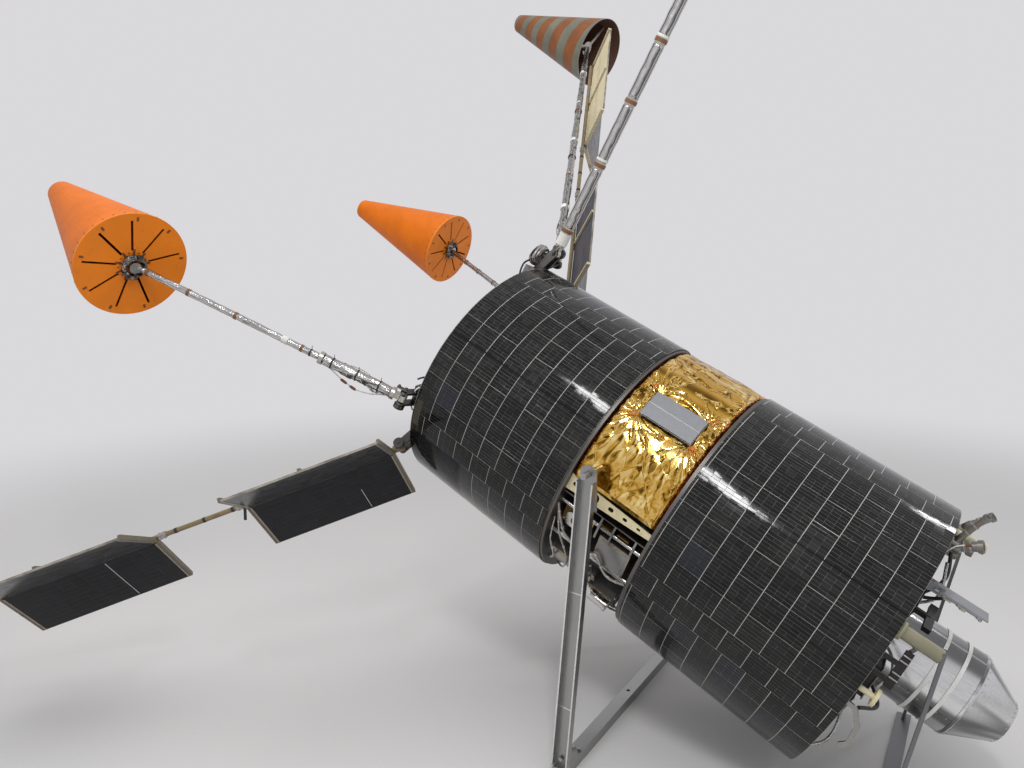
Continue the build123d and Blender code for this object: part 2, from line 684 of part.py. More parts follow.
# Ends of the straight arm: across and up from the drum's axis
ARM_FROM, ARM_TO = (-215, 237), (-318, 220)
arm_start, arm_end = Vector(DUCT_U + DUCT_W / 2, *ARM_FROM), Vector(DUCT_U + DUCT_W / 2, *ARM_TO)
arm = (Plane(origin=arm_start, x_dir=(1, 0, 0), z_dir=arm_end - arm_start)
       * Box(DUCT_W, ARM_SECTION, (arm_end - arm_start).length, align=LOW))
arm_middle = (arm_start + arm_end) / 2
arm += (Plane(origin=(LOWER_DECK, arm_middle.Y, arm_middle.Z), z_dir=(1, 0, 0)) * post)
save(ON_STAND * Compound([duct, arm]), "deck_duct")

# Hook arm: its line in the plane of the rim, out of the deck and then round it
HOOK_LINE = ((0, 0), (34, 0), (62, -40), (66, -86), (54, -104))
hook_at = Plane(origin=rim(LOWER_DECK, HOOK_R, HOOK_TURN), x_dir=(1, 0, 0), z_dir=rim(0, 1, HOOK_TURN))
hook_path = FilletPolyline(*HOOK_LINE, radius=HOOK_W)
hook = hook_at * extrude(trace(hook_path, HOOK_W), amount=HOOK_T)
hook -= drum_disc(LOWER_FOOT - DECK_T - EDGE_BAND_W, LOWER_DECK, DRUM_R)
save(ON_STAND * hook, "hook_arm")

# Cream disc on its stub, and the short tube among the sensors
disc = Cylinder(DISC_R, DISC_T, align=LOW)
for index in range(DISC_HOLE_COUNT):
    hole = Rot(0, 0, index * 360 / DISC_HOLE_COUNT) * Pos(DISC_HOLE_AT, 0, 0)
    disc -= hole * Cylinder(DISC_HOLE_R, 4 * DISC_T)
disc_h = DUCT_U - LOWER_DECK
disc = Cylinder(DISC_STUB_R, disc_h, align=LOW) + Pos(0, 0, disc_h) * disc
sensor_at = on_deck(SENSOR_R, SENSOR_TURN)
horn = Cylinder(HORN_R, HORN_L, align=LOW)
horn += Pos(0, 0, HORN_L) * Cylinder(HORN_LIP_R, HORN_LIP_L, align=HIGH)
horn -= Pos(0, 0, HORN_L) * Cylinder(HORN_BORE_R, HORN_BORE_L, align=HIGH)
save(ON_STAND * Compound([on_deck(DUCT_R + DUCT_T / 2, DISC_TURN) * disc,
                          sensor_at * Pos(HORN_X, 0, SENSOR_BASE_H) * horn]), "cream_fittings")

# Sensors on one base by the rim: place on the base, lean outwards, radius, length
SENSORS = ((20, -34, 62, 9, 74), (2, 30, 38, 12, 52), (16, 40, 78, 7, 96), (-14, -24, 8, 13, 34))
sensors = Box(SENSOR_BASE_L, SENSOR_BASE_W, SENSOR_BASE_H, align=LOW)
for x, y, lean, radius, length in SENSORS:
    sensor = Cylinder(radius, length, align=LOW) + Pos(0, 0, length) * Cylinder(
        radius * CAP_SHARE, radius, align=LOW)
    outer = radius + SOCKET_WALL
    socket = Cylinder(outer, 2 * outer, align=LOW)
    sensors += Pos(x, y, SENSOR_BASE_H) * (socket + Pos(0, 0, outer) * Rot(0, lean, 0) * sensor)
save(ON_STAND * (sensor_at * sensors), "rim_sensors")

# Flat probe plate with its two rods, on a post: across and up from the drum's axis
PROBE_AT = (-160, 262)
probe_at = Plane(origin=(LOWER_DECK, *PROBE_AT), x_dir=(0, 1, 0), z_dir=(1, 0, 0))
probe = Box(PROBE_POST, PROBE_POST, PROBE_POST_H, align=LOW)
probe += Pos(0, PROBE_T, PROBE_POST_H - PROBE_LAP) * Box(PROBE_W, PROBE_T, PROBE_L, align=LOW)
for offset in (-PROBE_W / 4, PROBE_W / 4):
    probe += Pos(offset, -PROBE_T / 2, PROBE_POST_H - PROBE_ROD_LAP) * Cylinder(
        PROBE_ROD_R, PROBE_L, align=LOW)
save(ON_STAND * (probe_at * probe), "deck_probe")

# Front stand: two channel legs, their tabs and trunnion bolts, and the floor beam
legs = []
for side in (-1, 1):
    start = Vector(0, side * LEG_Y, BEAM_H)
    end = Vector(tab.X, side * LEG_Y, tab.Z)
    place = Plane(origin=start, x_dir=(0, 1, 0), z_dir=end - start)
    length = (end - start).length
    channel = (Rectangle(LEG_D, LEG_W)
               - Pos(side * LEG_WALL, 0) * Rectangle(LEG_D, LEG_W - 2 * LEG_WALL))
    leg = extrude(place * channel, amount=length - 2 * TAB_HOLE_R)
    leg += extrude(place * channel, amount=-BEAM_H)
    leg -= Pos(0, side * LEG_Y, BEAM_H) * Box(4 * BEAM_W, 4 * BEAM_W, 4 * BEAM_W, align=HIGH)
    web = Plane(origin=end + Vector(0, -side * (LEG_D - LEG_WALL) / 2, 0), x_dir=(1, 0, 0),
                z_dir=(0, 1, 0))
    top = Cylinder(LEG_W / 2, LEG_WALL) + Pos(0, LEG_W, 0) * Box(LEG_W, 2 * LEG_W, LEG_WALL)
    leg += web * top
    bolt = Pos(tab.X, side * LEG_Y, tab.Z) * Rot(90, 0, 0) * Cylinder(TAB_HOLE_R + TRUNNION_FIT, 3 * LEG_D)
    legs.append(leg - bolt)
beam = Pos(0, 0, BEAM_H / 2) * (Box(BEAM_W, 2 * LEG_Y + LEG_D, BEAM_H)
                                - Box(BEAM_W - 2 * BEAM_WALL, 2 * LEG_Y + 4 * LEG_D,
                                      BEAM_H - 2 * BEAM_WALL))
beam -= Cylinder(FLOOR_HOLE_R, 3 * BEAM_H)
save(Compound(legs), "front_legs")
save(beam, "front_beam")

# Rear stand: two flat bars from the stand-offs to the rear floor bar
bars = []
for side, turn in ((-1, STANDOFF_TURN), (1, 180 - STANDOFF_TURN)):
    end = row(rim(STANDOFF_TIP + BAR_T / 2, STANDOFF_AT, turn))
    start = Vector(REAR_X, end.Y, BAR_T)
    place = Plane(origin=start, x_dir=(0, 1, 0), z_dir=end - start)
    bar = place * Pos(0, 0, -BAR_T) * Box(BAR_W, BAR_T, (end - start).length + BAR_T + BAR_W / 2,
                                          align=LOW)
    bar -= Pos(REAR_X, end.Y, BAR_T) * Box(4 * BAR_W, 4 * BAR_W, 4 * BAR_W, align=HIGH)
    bars.append(bar - ON_STAND * rod(rim(LOWER_FOOT, STANDOFF_AT, turn),
                                     rim(STANDOFF_TIP, STANDOFF_AT, turn), STANDOFF_R))
save(Compound(bars), "rear_bars")
reach = 2 * abs(rim(0, STANDOFF_AT, STANDOFF_TURN).Y) + BAR_W + 2 * REAR_END
save(Pos(REAR_X, 0, 0) * Box(BEAM_W, reach, BAR_T, align=LOW), "rear_floor_bar")
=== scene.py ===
"""Looks of the drum-shaped satellite on its display stand. All sizes are in metres."""
import logging
import math
from dataclasses import dataclass, field
from enum import Enum
from functools import reduce
from typing import Callable, Iterable, Sequence

import bmesh
import bpy
from mathutils import Matrix, Vector, noise


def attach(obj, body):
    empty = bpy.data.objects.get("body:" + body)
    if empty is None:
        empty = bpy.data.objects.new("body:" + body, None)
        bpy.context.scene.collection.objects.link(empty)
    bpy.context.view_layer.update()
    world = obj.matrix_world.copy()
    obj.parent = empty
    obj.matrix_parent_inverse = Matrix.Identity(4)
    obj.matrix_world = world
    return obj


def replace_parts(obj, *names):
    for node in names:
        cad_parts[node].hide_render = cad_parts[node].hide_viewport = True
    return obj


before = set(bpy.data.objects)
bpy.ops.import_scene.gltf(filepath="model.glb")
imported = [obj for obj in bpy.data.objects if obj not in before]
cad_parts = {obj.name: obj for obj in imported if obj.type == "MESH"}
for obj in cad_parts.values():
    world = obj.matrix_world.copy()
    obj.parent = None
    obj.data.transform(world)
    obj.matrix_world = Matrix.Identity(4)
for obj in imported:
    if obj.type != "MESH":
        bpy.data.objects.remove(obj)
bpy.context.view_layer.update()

LOG = logging.getLogger("satellite")
Socket = bpy.types.NodeSocket
Value = float | int | str | tuple | Socket
Finish = bpy.types.Material
GOLDEN_TURN = 2.39996
FOLD_PHASE = 0.37
FOLD_FADE = 0.62
FOLD_SEED = 2


class Body(Enum):
    """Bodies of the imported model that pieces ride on."""

    BUS = "bus"
    BOOM_NEAR = "boom_near"
    BOOM_FAR = "boom_far"
    BOOM_TOP = "boom_top"
    MAST = "mast"
    WING_NEAR = "wing_near"
    WING_FAR = "wing_far"


class Slot(Enum):
    """Material slots of the record."""

    CELLS = "solar_cell"
    FOIL = "foil"
    FRAME = "frame_metal"
    POLISHED = "polished"
    CREAM = "cream_paint"
    ORANGE = "orange_paint"
    SPIRAL = "spiral_paint"
    DARK = "dark_box"
    POLE = "pole_metal"
    DARK_STEEL = "dark_steel"
    STEEL = "steel"
    WHITE = "strap_white"
    CABLE = "cable_white"


# Places


@dataclass(frozen=True)
class Axes:
    """A set of axes in the row frame: its origin and three unit directions."""

    origin: Vector
    x: Vector
    y: Vector
    z: Vector

    def matrix(self) -> Matrix:
        """Matrix from these axes to the row frame."""
        turned = Matrix((self.x, self.y, self.z)).transposed().to_4x4()
        turned.translation = self.origin
        return turned

    def at(self, x: float, y: float, z: float) -> Vector:
        """Row-frame place of a point given in these axes."""
        return self.origin + self.x * x + self.y * y + self.z * z

    def moved(self, x: float, y: float, z: float) -> "Axes":
        """The same directions at another origin."""
        return Axes(self.at(x, y, z), self.x, self.y, self.z)


@dataclass(frozen=True)
class DrumAxes:
    """The drum's own axes: along it towards the canister, across it, and up from it."""

    x: float = 0.090
    z: float = 0.736
    slope: float = math.radians(27.2)
    radius: float = 0.400

    def axes(self) -> Axes:
        """The drum's axes in the row frame."""
        turn = Matrix.Rotation(self.slope, 3, "Y")
        return Axes(Vector((self.x, 0, self.z)), turn @ Vector((1, 0, 0)),
                    Vector((0, 1, 0)), turn @ Vector((0, 0, 1)))

    def point(self, u: float, y: float, w: float) -> Vector:
        """Row-frame place of a point of the drum frame."""
        return self.axes().at(u, y, w)

    def rim(self, u: float, radius: float, turn: float) -> Vector:
        """Row-frame place at a station, radius and turn in degrees."""
        angle = math.radians(turn)
        return self.point(u, radius * math.cos(angle), radius * math.sin(angle))

    def way(self, u: float, y: float, w: float) -> Vector:
        """Row-frame direction of a direction of the drum frame."""
        own = self.axes()
        return (own.x * u + own.y * y + own.z * w).normalized()

    def out(self, turn: float) -> Vector:
        """Direction out of the drum at a turn in degrees."""
        angle = math.radians(turn)
        return self.way(0, math.cos(angle), math.sin(angle))

    def on_rim(self, u: float, radius: float, turn: float) -> Axes:
        """Axes at a place round the drum: x along it, z outwards."""
        along, out = self.way(1, 0, 0), self.out(turn)
        return Axes(self.rim(u, radius, turn), along, out.cross(along), out)


DRUM = DrumAxes()


def along_line(start: Vector, end: Vector, up: Vector = Vector((0, 0, 1))) -> Axes:
    """Axes whose z runs from one point towards another.

    Args:
        start: the origin.
        end: a point on the z axis.
        up: direction that x leans towards.

    Returns:
        The axes.
    """
    z = (end - start).normalized()
    x = (up - z * up.dot(z))
    x = x.normalized() if x.length > 1e-6 else z.orthogonal().normalized()
    return Axes(start, x, z.cross(x), z)


def smooth_path(points: Sequence[Vector], steps: int = 8) -> list[Vector]:
    """Points on a smooth curve through the given ones."""
    points = [Vector(p) for p in points]
    ends = [points[0] * 2 - points[1], *points, points[-1] * 2 - points[-2]]
    path = []
    for i in range(1, len(ends) - 2):
        p0, p1, p2, p3 = ends[i - 1:i + 3]
        for step in range(steps):
            t = step / steps
            path.append(0.5 * (p1 * 2 + (p2 - p0) * t + (p0 * 2 - p1 * 5 + p2 * 4 - p3) * t * t
                               + (p1 * 3 - p0 - p2 * 3 + p3) * t ** 3))
    return [*path, points[-1]]


@dataclass(frozen=True)
class Crumple:
    """Heights of a crumpled sheet: flat facets that meet in sharp creases."""

    per_metre: float
    seed: int
    folds: int = 6
    bend: float = 0.4
    fade: float = FOLD_FADE

    def height(self, a: float, b: float) -> float:
        """Height from 0 to 1 at a place on the sheet.

        Args:
            a: place one way, in metres.
            b: place the other way, in metres.

        Returns:
            The height.
        """
        spot = Vector((a, b, 0.0)) * self.per_metre
        bent = noise.noise_vector(spot * 0.5 + Vector((0, 0, self.seed * 3.7))) * self.bend
        x, y = spot.x + bent.x, spot.y + bent.y
        total = most = 0.0
        for fold in range(self.folds):
            turn = fold * GOLDEN_TURN + self.seed
            size, often = self.fade ** fold, 1.55 ** fold
            wave = (x * math.cos(turn) + y * math.sin(turn)) * often + fold * FOLD_PHASE
            total += size * abs(wave % 2.0 - 1.0)
            most += size
        return total / most


# Shader graphs


class Nodes:
    """A node tree, with a short way to write its nodes."""

    def __init__(self, tree: bpy.types.NodeTree) -> None:
        """Empty the tree and hold it."""
        self.tree = tree
        self.tree.nodes.clear()

    def feed(self, socket: Socket, value: Value) -> None:
        """Link or set one input."""
        if isinstance(value, bpy.types.NodeSocket):
            self.tree.links.new(value, socket)
        elif isinstance(value, tuple) and len(value) == 3 and socket.type == "RGBA":
            socket.default_value = (*value, 1.0)
        else:
            socket.default_value = value

    def node(self, kind: str, inputs: dict[int | str, Value], **settings: object) -> bpy.types.Node:
        """Add a node, set its properties and feed its inputs.

        Args:
            kind: Blender's name of the node.
            inputs: values or sockets by input name or index.
            settings: properties of the node.

        Returns:
            The new node.
        """
        made = self.tree.nodes.new(kind)
        for key, value in settings.items():
            setattr(made, key, value)
        for key, value in inputs.items():
            self.feed(made.inputs[key], value)
        return made


class Graph(Nodes):
    """The nodes of one material."""

    def __init__(self, name: str) -> None:
        """Start a material with one Principled shader."""
        self.material = bpy.data.materials.new(name)
        self.material.use_nodes = True
        super().__init__(self.material.node_tree)
        self.shader = self.node("ShaderNodeBsdfPrincipled", {})
        self.node("ShaderNodeOutputMaterial", {0: self.shader.outputs[0]})

    def math(self, operation: str, *values: Value) -> Socket:
        """One Math node."""
        return self.node("ShaderNodeMath", dict(enumerate(values)), operation=operation).outputs[0]

    def vector(self, operation: str, *values: Value) -> bpy.types.Node:
        """One Vector Math node."""
        return self.node("ShaderNodeVectorMath", dict(enumerate(values)), operation=operation)

    def add(self, *values: Value) -> Socket:
        """Sum of the values."""
        return reduce(lambda total, value: self.math("ADD", total, value), values)

    def times(self, *values: Value) -> Socket:
        """Product of the values."""
        return reduce(lambda total, value: self.math("MULTIPLY", total, value), values)

    def mix(self, factor: Value, low: Value, high: Value) -> Socket:
        """Mix two colours."""
        return self.node("ShaderNodeMix", {0: factor, 6: low, 7: high}, data_type="RGBA").outputs[2]

    def mottled(self, cloud: Value, low: float, high: float, colour: tuple, shade: float) -> Socket:
        """A colour, times a shade where a cloud is low."""
        return self.mix(self.between(cloud, low, high), tuple(c * shade for c in colour), colour)

    def between(self, value: Value, low: float, high: float, out_low: float = 0.0,
                out_high: float = 1.0) -> Socket:
        """Map a value smoothly from one span to another, clamped."""
        return self.node("ShaderNodeMapRange", {0: value, 1: low, 2: high, 3: out_low, 4: out_high},
                         interpolation_type="SMOOTHSTEP").outputs[0]

    def line(self, value: Value, pitch: float, width: float) -> Socket:
        """1 on thin lines that repeat along a coordinate, 0 between them."""
        return self.math("LESS_THAN", self.math("PINGPONG", value, pitch / 2), width / 2)

    def index(self, value: Value, pitch: float) -> Socket:
        """Number of the cell that a coordinate falls in."""
        return self.math("FLOOR", self.math("DIVIDE", value, pitch))

    def within(self, value: Value, middle: float, half: float) -> Socket:
        """1 near a value, 0 away from it."""
        return self.math("COMPARE", value, middle, half)

    def chance(self, x: Value, y: Value, z: Value = 0.0) -> bpy.types.Node:
        """White noise that stays the same over one cell; outputs are value and colour."""
        vector = self.node("ShaderNodeCombineXYZ", {0: x, 1: y, 2: z}).outputs[0]
        return self.node("ShaderNodeTexWhiteNoise", {"Vector": vector}, noise_dimensions="3D")

    def place(self, axes: Axes | None = None, scale: Sequence[float] = (1, 1, 1)) -> Socket:
        """Object coordinates seen from a set of axes of the row frame."""
        coords = self.node("ShaderNodeTexCoord", {}).outputs["Object"]
        if axes is None:
            return self.node("ShaderNodeMapping", {0: coords, 3: tuple(scale)}).outputs[0]
        turn = axes.matrix().to_euler()
        return self.node("ShaderNodeMapping",
                         {0: coords, 1: tuple(axes.origin), 2: tuple(turn), 3: tuple(scale)},
                         vector_type="TEXTURE").outputs[0]

    def normal(self) -> Socket:
        """The surface's normal in object coordinates."""
        return self.node("ShaderNodeTexCoord", {}).outputs["Normal"]

    def facing(self, way: Vector) -> Socket:
        """Cosine between the normal and a direction."""
        return self.vector("DOT_PRODUCT", self.normal(), tuple(way)).outputs["Value"]

    def reflection_by_lean(self, often: float, scale: float, rough: float) -> Socket:
        """Noise over the directions of the normal, so that each facet has its own tone: painted reflection
        that follows the facet's lean.
        """
        return self.noise(self.vector("MULTIPLY", self.normal(), (often,) * 3).outputs[0], scale, 1.0, rough)

    def split(self, vector: Socket) -> tuple[Socket, Socket, Socket]:
        """The three numbers of a vector."""
        made = self.node("ShaderNodeSeparateXYZ", {0: vector})
        return made.outputs[0], made.outputs[1], made.outputs[2]

    def noise(self, vector: Value, scale: float, detail: float = 4.0, rough: float = 0.55) -> Socket:
        """Fractal noise."""
        return self.node("ShaderNodeTexNoise", {"Vector": vector, "Scale": scale, "Detail": detail,
                                                "Roughness": rough}).outputs[0]

    def creases(self, vector: Value, per_metre: float, folds: int) -> Socket:
        """Facets with sharp creases, as triangle waves in several directions."""
        warp = self.node("ShaderNodeTexNoise", {"Vector": vector, "Scale": per_metre * 0.4,
                                                "Detail": 2.0}).outputs[1]
        bent = self.vector("MULTIPLY_ADD", warp, (1.6 / per_metre,) * 3, vector).outputs[0]
        total: Value = 0.0
        for fold in range(folds):
            turn, lean = fold * GOLDEN_TURN, math.cos(fold * 1.7)
            level = math.sqrt(1 - lean * lean * 0.8)
            way = (math.cos(turn) * level, math.sin(turn) * level, lean * 0.9)
            often = per_metre * 1.5 ** fold
            dot = self.vector("DOT_PRODUCT", bent, tuple(c * often for c in way)).outputs["Value"]
            wave = self.math("PINGPONG", self.math("ADD", dot, fold * FOLD_PHASE), 1.0)
            total = self.math("MULTIPLY_ADD", wave, FOLD_FADE ** fold, total)
        return total

    def ramp(self, value: Value, *stops: tuple[float, tuple]) -> Socket:
        """Colour ramp through (place, colour) stops."""
        made = self.node("ShaderNodeValToRGB", {0: value})
        while len(made.color_ramp.elements) < len(stops):
            made.color_ramp.elements.new(0.5)
        for element, (where, colour) in zip(made.color_ramp.elements, stops):
            element.position = where
            element.color = (*colour, 1.0)
        return made.outputs[0]

    def bump(self, height: Value, strength: float, distance: float) -> None:
        """Feed the shader's normal with a bump."""
        made = self.node("ShaderNodeBump", {"Strength": strength, "Distance": distance,
                                            "Height": height})
        self.feed(self.shader.inputs["Normal"], made.outputs[0])

    def set(self, **values: Value) -> None:
        """Set shader inputs by name, with _ for a space."""
        for key, value in values.items():
            self.feed(self.shader.inputs[key.replace("_", " ")], value)


# Finishes


@dataclass(frozen=True)
class DrumCells:
    """Glassy solar cells in rows round a drum, with strings, blocks and joints that catch light."""

    name: str
    start: float
    row: float
    seam_turn: float
    block: float = math.radians(10)
    quarter: float = math.radians(90)
    cells_per_row: int = 3
    cell_w: float = 0.00998
    line_w: float = 0.0014
    strip_turn: float = math.radians(45)
    strip_half: float = math.radians(5)
    strip_shift: float = 0.017
    plain_from: float = math.radians(20)
    plain_to: float = -0.48
    seam_half: float = 0.004
    seam: tuple = (0.002, 0.002, 0.002)
    shine: tuple = (0.10, 0.32)
    dark: tuple = (0.0022, 0.0022, 0.0026)
    light: tuple = (0.0200, 0.0195, 0.0190)
    blue: tuple = (0.0135, 0.0150, 0.0210)
    dust: tuple = (0.026, 0.024, 0.021)
    thread: tuple = (0.165, 0.163, 0.152)
    joint: tuple = (0.62, 0.62, 0.58)

    def build(self) -> Finish:
        """Make the material.

        Returns:
            The finished material.
        """
        g = Graph(self.name)
        u, y, w = g.split(g.place(DRUM.axes()))
        low = g.math("ARCTAN2", g.times(w, -1.0), g.times(y, -1.0))
        turn = g.math("SUBTRACT", low, math.radians(self.seam_turn - 180))
        lined = g.math("MAXIMUM", g.between(low, self.plain_from, self.plain_from + 0.02, 1.0, 0.0),
                       g.between(u, self.plain_to, self.plain_to + 0.03))
        arc = g.times(turn, DRUM.radius)
        block = self.block * DRUM.radius
        in_quarter = g.math("FLOORED_MODULO", turn, self.quarter)
        strip = g.within(in_quarter, self.strip_turn, self.strip_half)
        along = g.add(g.math("SUBTRACT", u, self.start), g.times(strip, self.strip_shift))
        row_id, block_id = g.index(along, self.row), g.index(arc, block)
        cell = self.row / self.cells_per_row
        cell_u, cell_v = g.index(along, cell), g.index(arc, self.cell_w)
        tint, patch = g.chance(cell_u, cell_v, 3.0), g.chance(row_id, block_id, 7.0)
        edge = g.math("GREATER_THAN", g.chance(row_id, block_id, 11.0).outputs[0], 0.5)
        smear = g.noise(g.place(), 9.0, 3.0)
        rows = g.line(along, self.row, self.line_w)
        blocks = g.times(g.line(arc, block, self.line_w * 0.8), edge)
        bright = g.times(g.math("MAXIMUM", rows, blocks), lined)
        string = g.chance(row_id, cell_v, 5.0).outputs[0]
        fine_v = g.times(g.line(arc, self.cell_w, self.line_w * 0.62),
                         g.between(string, 0.0, 1.0, 0.25, 1.0))
        step = g.math("GREATER_THAN", tint.outputs[0], 0.5)
        fine_u = g.times(g.line(along, cell, self.line_w * 0.55), step)
        fine = g.times(g.math("MAXIMUM", fine_v, g.times(fine_u, 0.8)), lined)
        tone = g.add(g.times(tint.outputs[0], 0.55), g.times(patch.outputs[0], 0.45))
        base = g.mix(g.math("POWER", tone, 2.0), self.dark, self.light)
        base = g.mix(g.math("GREATER_THAN", patch.outputs[0], 0.86), base, self.blue)
        base = g.mix(g.times(g.between(smear, 0.5, 0.8), 0.45), base, self.dust)
        base = g.mix(g.times(fine, 0.75), base, self.thread)
        base = g.mix(g.times(bright, g.between(smear, 0.2, 0.65, 1.0, 0.7)), base, self.joint)
        seam = g.math("LESS_THAN", g.math("PINGPONG", turn, self.quarter / 2), self.seam_half)
        base = g.mix(seam, base, self.seam)
        worn = g.math("MAXIMUM", bright, fine)
        rough = g.add(g.times(tint.outputs[0], 0.06), g.times(worn, 0.4), g.times(smear, 0.07), 0.025)
        g.set(Base_Color=base, Roughness=rough,
              Specular_IOR_Level=g.between(lined, 0.0, 1.0, *self.shine))
        lean_u = g.times(g.math("SUBTRACT", patch.outputs[0], 0.5), along, 0.010)
        lean_v = g.times(g.math("SUBTRACT", tint.outputs[0], 0.5), arc, 0.026)
        g.bump(g.add(lean_u, lean_v, g.times(worn, -0.0003), g.times(smear, 0.0008)), 1.0, 1.0)
        return g.material


@dataclass(frozen=True)
class Paint:
    """Painted or moulded surface with faint mottling, dirt and a soft orange-peel."""

    name: str
    colour: tuple
    dirt: tuple = (0.10, 0.08, 0.06)
    dirt_share: float = 0.25
    roughness: float = 0.45
    grain: float = 60.0
    coat: float = 0.0
    shade: float = 0.82

    def build(self) -> Finish:
        """Make the material."""
        g = Graph(self.name)
        where = g.place()
        cloud = g.noise(where, 7.0, 5.0, 0.6)
        speck = g.noise(where, self.grain, 3.0, 0.6)
        streak = g.noise(g.place(None, (1.0, 1.0, 0.15)), self.grain * 0.5, 4.0, 0.65)
        base = g.mottled(cloud, 0.3, 0.7, self.colour, self.shade)
        marks = g.math("MAXIMUM", g.between(speck, 0.6, 0.78),
                       g.times(g.between(streak, 0.56, 0.75), 0.6))
        base = g.mix(g.times(marks, self.dirt_share), base, self.dirt)
        g.set(Base_Color=base, Coat_Weight=self.coat, Coat_Roughness=0.2,
              Roughness=g.between(speck, 0.2, 0.8, self.roughness - 0.07, self.roughness + 0.08))
        g.bump(speck, 0.25, 0.0006)
        return g.material


@dataclass(frozen=True)
class ConePaint:
    """Sprayed paint over lapped sheet: fine rings, a lap line along the cone and rubbed edges."""

    name: str
    axes: Axes
    colour: tuple
    worn: tuple
    rings: float = 0.071
    ring_w: float = 0.0012
    lap_turn: float = 0.9
    lap_half: float = 0.012
    shade: float = 0.84

    def build(self) -> Finish:
        """Make the material."""
        g = Graph(self.name)
        x, y, z = g.split(g.place(self.axes))
        cloud = g.noise(g.place(), 9.0, 5.0, 0.6)
        speck = g.noise(g.place(), 120.0, 3.0, 0.6)
        turn = g.math("ARCTAN2", y, x)
        lap = g.within(turn, self.lap_turn, self.lap_half)
        ring = g.line(z, self.rings, self.ring_w)
        base = g.mottled(cloud, 0.3, 0.72, self.colour, self.shade)
        base = g.mix(g.times(g.between(speck, 0.62, 0.75), 0.25), base, self.worn)
        base = g.mix(g.times(g.math("MAXIMUM", lap, g.times(ring, 0.5)), 0.55), base, self.worn)
        g.set(Base_Color=base, Roughness=g.between(speck, 0.2, 0.8, 0.42, 0.58), Specular_IOR_Level=0.2)
        g.bump(g.add(g.times(speck, 0.4), g.times(cloud, 1.5), g.times(lap, -1.0), g.times(ring, -0.4)),
               0.35, 0.0008)
        return g.material


@dataclass(frozen=True)
class Metal:
    """Bare metal with a rolled or brushed grain, smears and small scratches, and at will a painted dark
    reflection that follows each facet's lean.
    """

    name: str
    colour: tuple
    roughness: float = 0.35
    axes: Axes | None = None
    stretch: tuple = (1.0, 14.0, 14.0)
    grain: float = 40.0
    stain: tuple = (0.20, 0.17, 0.13)
    stain_share: float = 0.25
    bump: float = 0.15
    # painted reflection: how fast the painted dark reflection changes with a facet's lean (0 for none), and
    # how dark it gets
    painted_reflection: float = 0.0
    shade: float = 0.86
    painted_dark_share: float = 0.22

    def build(self) -> Finish:
        """Make the material."""
        g = Graph(self.name)
        where = g.place(self.axes)
        scaled = g.node("ShaderNodeMapping", {0: where, 3: self.stretch}).outputs[0]
        grain = g.noise(scaled, self.grain, 3.0, 0.65)
        cloud = g.noise(where, 6.0, 4.0, 0.6)
        spots = g.noise(where, 55.0, 4.0, 0.7)
        marks = g.math("MAXIMUM", g.between(cloud, 0.5, 0.8),
                       g.times(g.between(spots, 0.6, 0.72), 0.7))
        base = g.mottled(grain, 0.3, 0.75, self.colour, self.shade)
        base = g.mix(g.times(marks, self.stain_share), base, self.stain)
        # painted reflection: facets that lean one way are darkened, as if they mirrored something dark
        if self.painted_reflection:
            tone = g.between(g.reflection_by_lean(self.painted_reflection, 2.0, 0.4), 0.36, 0.58)
            base = g.mix(tone, tuple(c * self.painted_dark_share for c in self.colour), base)
        rough = g.add(g.between(grain, 0.25, 0.75, self.roughness - 0.08, self.roughness + 0.1),
                      g.times(marks, 0.12))
        g.set(Base_Color=base, Metallic=1.0, Roughness=rough)
        g.bump(grain, self.bump, 0.0005)
        return g.material


@dataclass(frozen=True)
class Film:
    """Metal-coated plastic film: sharp creases, and painted reflection whose colour changes with each facet's
    lean.
    """

    name: str
    # pale is a painted highlight and deep a painted dark reflection; colour is the film's own colour
    pale: tuple
    colour: tuple
    deep: tuple
    roughness: float = 0.14
    per_metre: float = 40.0
    painted_reflection: float = 1.7
    bump: float = 0.5
    folds: int = 5
    stops: tuple = (0.37, 0.50, 0.66)

    def build(self) -> Finish:
        """Make the material."""
        g = Graph(self.name)
        where = g.place()
        folds = g.creases(where, self.per_metre, self.folds)
        # painted reflection: the tone follows each facet's lean and picks deep, colour or pale from the ramp
        tone = g.add(g.times(g.reflection_by_lean(self.painted_reflection, 1.9, 0.5), 0.86), g.times(g.noise(where, 9.0, 2.0), 0.14))
        small = g.noise(where, 70.0, 4.0, 0.6)
        base = g.ramp(tone, *zip(self.stops, (self.deep, self.colour, self.pale)))
        g.set(Base_Color=base, Metallic=1.0,
              Roughness=g.between(small, 0.2, 0.8, self.roughness - 0.06, self.roughness + 0.10))
        g.bump(g.add(folds, g.times(small, 0.12)), self.bump, 0.35 / self.per_metre)
        return g.material


